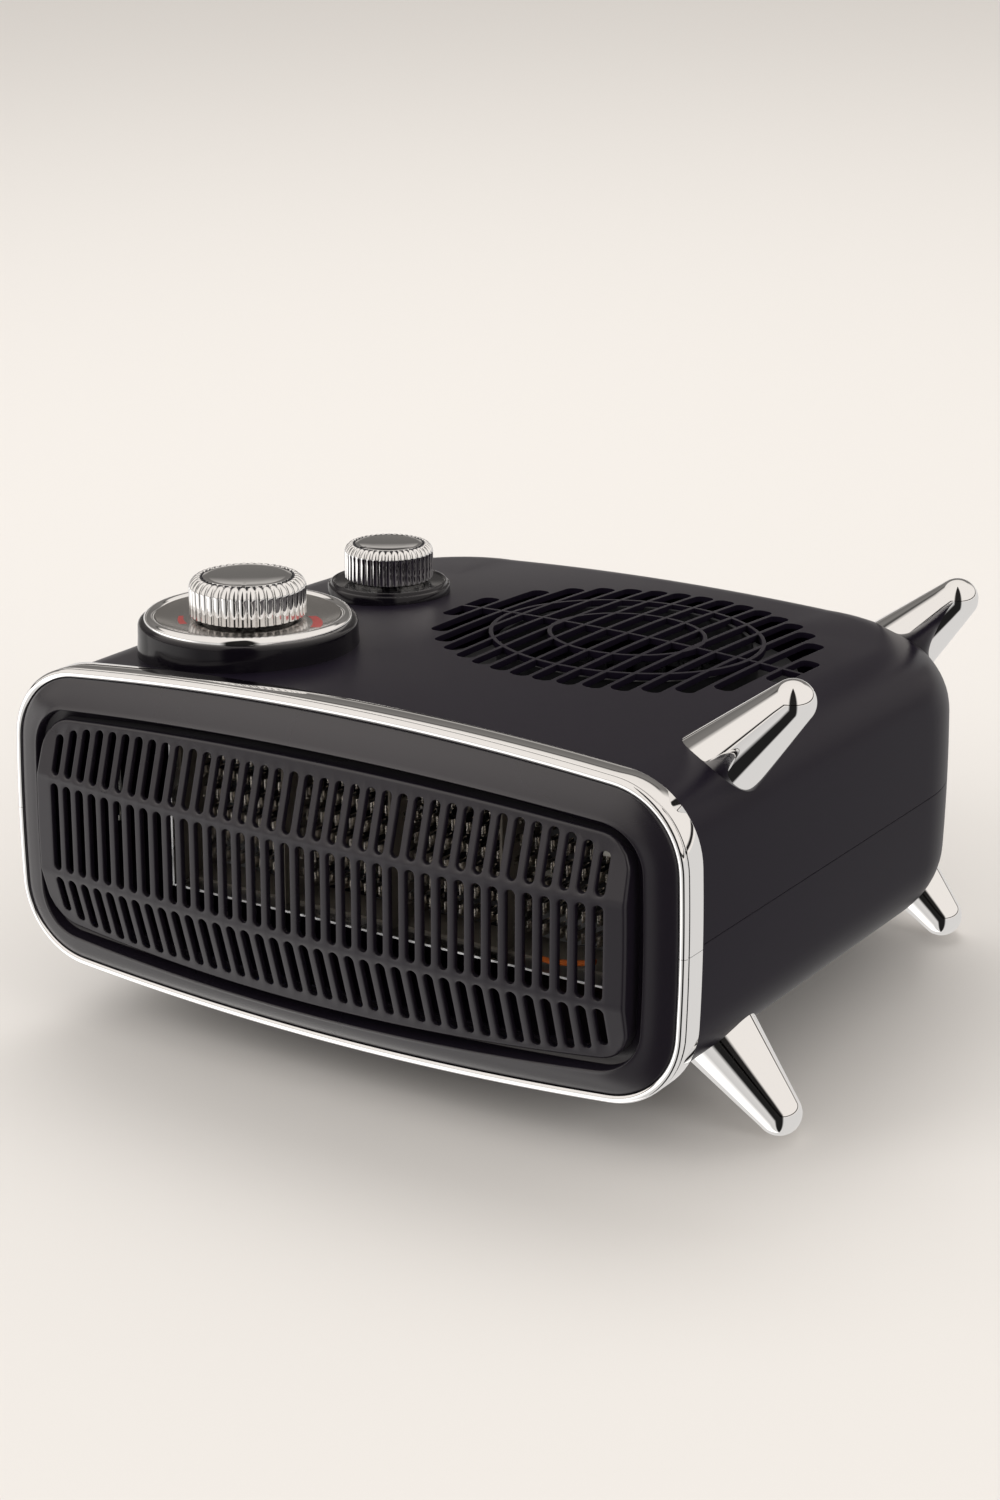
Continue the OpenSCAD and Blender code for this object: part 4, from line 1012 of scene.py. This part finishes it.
pip_profile = ((0, -0.3), (0.35, -0.35), (0.46, -0.5), (0.46, -1.6), (0, -1.6))


def knob(name, place, r, h, body, pointing):
    """A knob of a radius and height, whose notch points so far round from the front"""
    top_r = knob_top_share * r
    turned = Matrix.Rotation(pointing, 4, "Z")
    core = local_mesh(name + "_core", *lathe(knob_core(r, top_r, h), (0, 0), steps=160), chrome)
    ribs = local_mesh(name + "_flutes", *flute(r, top_r, h), chrome)
    grown(ribs, round_tree, Count=flutes, Material=chrome)
    # The pips are painted shade: black posts set in the shaded valleys between the flutes' ends.
    between, pip_at = math.pi / flutes, top_r + pip_gap
    across, back = pip_at * math.cos(between), pip_at * math.sin(between)
    points, faces = lathe([(pip_r, h + z) for pip_r, z in pip_profile], (0, 0), steps=10)
    pips = local_mesh(name + "_pips", [(x + across, y + back, z) for x, y, z in points], faces, painted_shade_black)
    grown(pips, round_tree, Count=flutes, Material=painted_shade_black)
    for part in (core, ribs, pips):
        set_in_place(part, place, turned=turned)
    edge, low, high = -top_r, h - notch_depth, h + notch_depth
    notch_body = block(-notch_half, notch_half, edge - 1, edge + notch_length, low, high)
    notch = local_mesh(name + "_notch", *notch_body, painted_shade_black)
    set_in_place(notch, place, turned=turned)
    cut(core, notch)
    fit(core, body, "chrome", name)
    fit(ribs, body, "chrome")
    fit(pips, body, "chrome")


knob("thermostat_knob", (*dial_centre, 74.2), 22.9, 16.2, "thermostat_control", math.radians(32))
knob("function_knob", (*switch_centre, 67.4), 18.4, 15.6, "function_control", math.radians(-20))


# The four legs are plated hollow cones with round tips. Each is trimmed to the case's corner
# and drawn tight by a screw from inside.
leg_tips = {
    "leg_upper_front": (157.5, 59.8, 78.3, -135),
    "leg_upper_rear": (134, 252, 68.6, -135),
    "leg_lower_front": (157.5, 59.8, -78.3, -45),
    "leg_lower_rear": (134, 252, -68.6, -45),
}
leg_tip_r, leg_flare, leg_length, leg_seat = 8.5, 0.176, 52, 1


def case_form(inset):
    """The case's whole outside, drawn in by an inset, as one closed shape"""
    front = [point for up in (1, -1) for point in front_edge(inset, up)[::up]]
    points, faces = joined(case_skin(inset, 1), case_skin(inset, -1))
    start = len(points)
    return points + front, faces + [tuple(range(start, start + len(front)))]


def leg_cone():
    """A leg along its own axis: zero at the tip's centre, +Z into the case"""
    slope = math.atan(leg_flare)
    round_tip = np.linspace(0.12, math.pi / 2 - slope, 14)
    profile = [(0, -leg_tip_r), *((leg_tip_r * math.sin(a), -leg_tip_r * math.cos(a)) for a in round_tip)]
    base = leg_tip_r * math.cos(slope)
    start = -leg_tip_r * math.sin(slope)
    profile += [(base + leg_flare * (z - start), z) for z in np.linspace(start, leg_length, 12)[1:]]
    return lathe(profile + [(0, leg_length)], (0, 0), steps=96)


for name, (x, y, z, turn) in leg_tips.items():
    leg = local_mesh(name + "_cone", *leg_cone(), chrome)
    set_in_place(leg, (x, y, z), turned=Matrix.Rotation(math.radians(turn), 4, "Y"))
    cut(leg, solid("case_form", *case_form(leg_seat), case_plastic))
    fit(leg, "case", "chrome", name)


def finished(material, *names):
    """Gives pieces that keep their drawn shape their material"""
    for name in names:
        slots = frame["nodes"][name].data.materials
        slots.clear()
        slots.append(material)


# Behind the grille a folded sheet-metal duct holds the heating element. Its front edge is a
# bare bright lip.
finished(chrome_finish("galvanised_sheet", (0.62, 0.63, 0.64), 0.25), "outlet_duct")

# The element is seven rows of crimped nichrome ribbon, threaded through five upright mica
# boards that slot into two more above and below.
finished(paint("mica_sheet", (0.15, 0.13, 0.105), 0.35), "mica_frame")
nichrome = chrome_finish("nichrome", (0.82, 0.79, 0.75), 0.16)
ribbon_swing, ribbon_h, ribbon_t = 3.8, 4.2, 0.22
ribbon_folds, ribbon_rows, ribbon_step = 58, 7, 8.175
ribbon_left, ribbon_right, ribbon_y, ribbon_low = -75.7, 113.7, 25, -12.8


def crimp(pitch, steps=10):
    """One fold of ribbon, which runs to and fro once"""
    rows = []
    for t in np.linspace(0, 1, steps + 1):
        x, y = pitch * t, ribbon_swing * math.cos(2 * math.pi * t)
        way = np.array((pitch, -2 * math.pi * ribbon_swing * math.sin(2 * math.pi * t)))
        off = ribbon_t / 2 * np.array((-way[1], way[0])) / np.linalg.norm(way)
        section = ((1, 0), (1, ribbon_h), (-1, ribbon_h), (-1, 0))
        rows.append([(x + k * off[0], y + k * off[1], z) for k, z in section])
    return grid(rows, around=True)


fold = (ribbon_right - ribbon_left) / ribbon_folds
ribbon = local_mesh("nichrome_ribbon", *crimp(fold), nichrome)
grown(ribbon, row_tree, Count=ribbon_folds, Step=(fold, 0, 0), Material=nichrome)
grown(ribbon, row_tree, Count=ribbon_rows, Step=(0, 0, ribbon_step), Material=nichrome)
set_in_place(ribbon, (ribbon_left, ribbon_y, ribbon_low), sharp=60)
fit(ribbon, "case", "steel", "heating_ribbon")

# A bimetal cut-out, a fuse in a glazed sleeve and a ceramic block sit on the boards. The cut-out
# and the fuse break the circuit when the air stops.
ceramic = paint("glazed_ceramic", (0.78, 0.76, 0.70), 0.22)
bare_steel = chrome_finish("bare_steel", (0.55, 0.55, 0.56), 0.22)
finished(ceramic, "thermal_fuse", "terminal_block")
finished(bare_steel, "thermal_cutout")

# The fan is a moulded drum of curved blades in a moulded duct, under an inlet ring. All are
# plain black plastic.
fan_plastic = satin_plastic("fan_plastic", (0.018, 0.018, 0.019), 0.45)
finished(fan_plastic, "fan_duct", "inlet_ring", "impeller")

# The shaded-pole motor hangs under the duct: a stack of laminations, a varnished winding and
# two pressed bridges that carry the shaft.
laminations, lamination_tree, lamination_shader = material_nodes("laminations")
lamination_place = add_node(lamination_tree, "ShaderNodeTexCoord").outputs["Object"]
sheets = add_node(lamination_tree, "ShaderNodeTexWave", lamination_place, bands_direction="Z", Scale=300)
set_up(lamination_tree, sheets, Distortion=0.4)
sheet_tone = mixed(lamination_tree, sheets.outputs["Fac"], (0.16, 0.15, 0.15, 1), (0.42, 0.41, 0.41, 1))
set_up(lamination_tree, lamination_shader, Metallic=1, Roughness=0.38, Base_Color=sheet_tone)
finished(laminations, "motor_stator")
finished(chrome_finish("enamelled_copper", (0.62, 0.27, 0.12), 0.25), "motor_coil")
finished(bare_steel, "motor_shaft", "motor_bridge_upper", "motor_bridge_lower")

# Under each knob a steel spindle turns in the bush of a moulded housing. One holds the
# thermostat's contacts, the other the function switch's.
finished(bare_steel, "thermostat_spindle", "function_spindle")
finished(fan_plastic, "thermostat", "function_switch")

# Zinc-plated steel screws hold the case's halves, the legs, the duct and the motor. All are
# driven from inside or from below.
zinc_plate = chrome_finish("zinc_plate", (0.66, 0.66, 0.62), 0.18)
finished(zinc_plate, "leg_screws", "case_screws", "motor_screws", "duct_screws")

# Two moulded stub feet carry the end that has no legs. Each has a rubber pad set into its
# underside.
finished(case_plastic, "stub_foot_front", "stub_foot_rear")
finished(satin_plastic("pad_rubber", (0.022, 0.022, 0.021), 0.75, 0.3), "foot_pads")

# The mains lead enters at a moulded gland in the rear wall. Inside it parts into sleeved leads
# for the element, the thermostat and the switch.
finished(satin_plastic("gland_rubber", (0.02, 0.02, 0.02), 0.6, 0.2), "cable_gland")
finished(satin_plastic("blue_sleeve", (0.02, 0.07, 0.36), 0.4), "lead_blue")
finished(satin_plastic("brown_sleeve", (0.10, 0.035, 0.015), 0.4), "lead_brown")
orange_sleeve = satin_plastic("orange_sleeve", (0.42, 0.1, 0.02), 0.4)
finished(orange_sleeve, "lead_orange")
lead_path = ((84, 12, -17.5), (90, 10, -16.8), (97, 9.5, -15.6), (103, 10, -14.6), (107, 12, -14))
lead_r, lead_turns = 1.1, np.linspace(0, 2 * math.pi, 14, endpoint=False)
lead_rings = [
    [(x, y + lead_r * math.cos(a), z + lead_r * math.sin(a)) for a in lead_turns] for x, y, z in lead_path
]
fit(solid("element_lead", *capped(lead_rings), orange_sleeve), "case", "lead_orange")
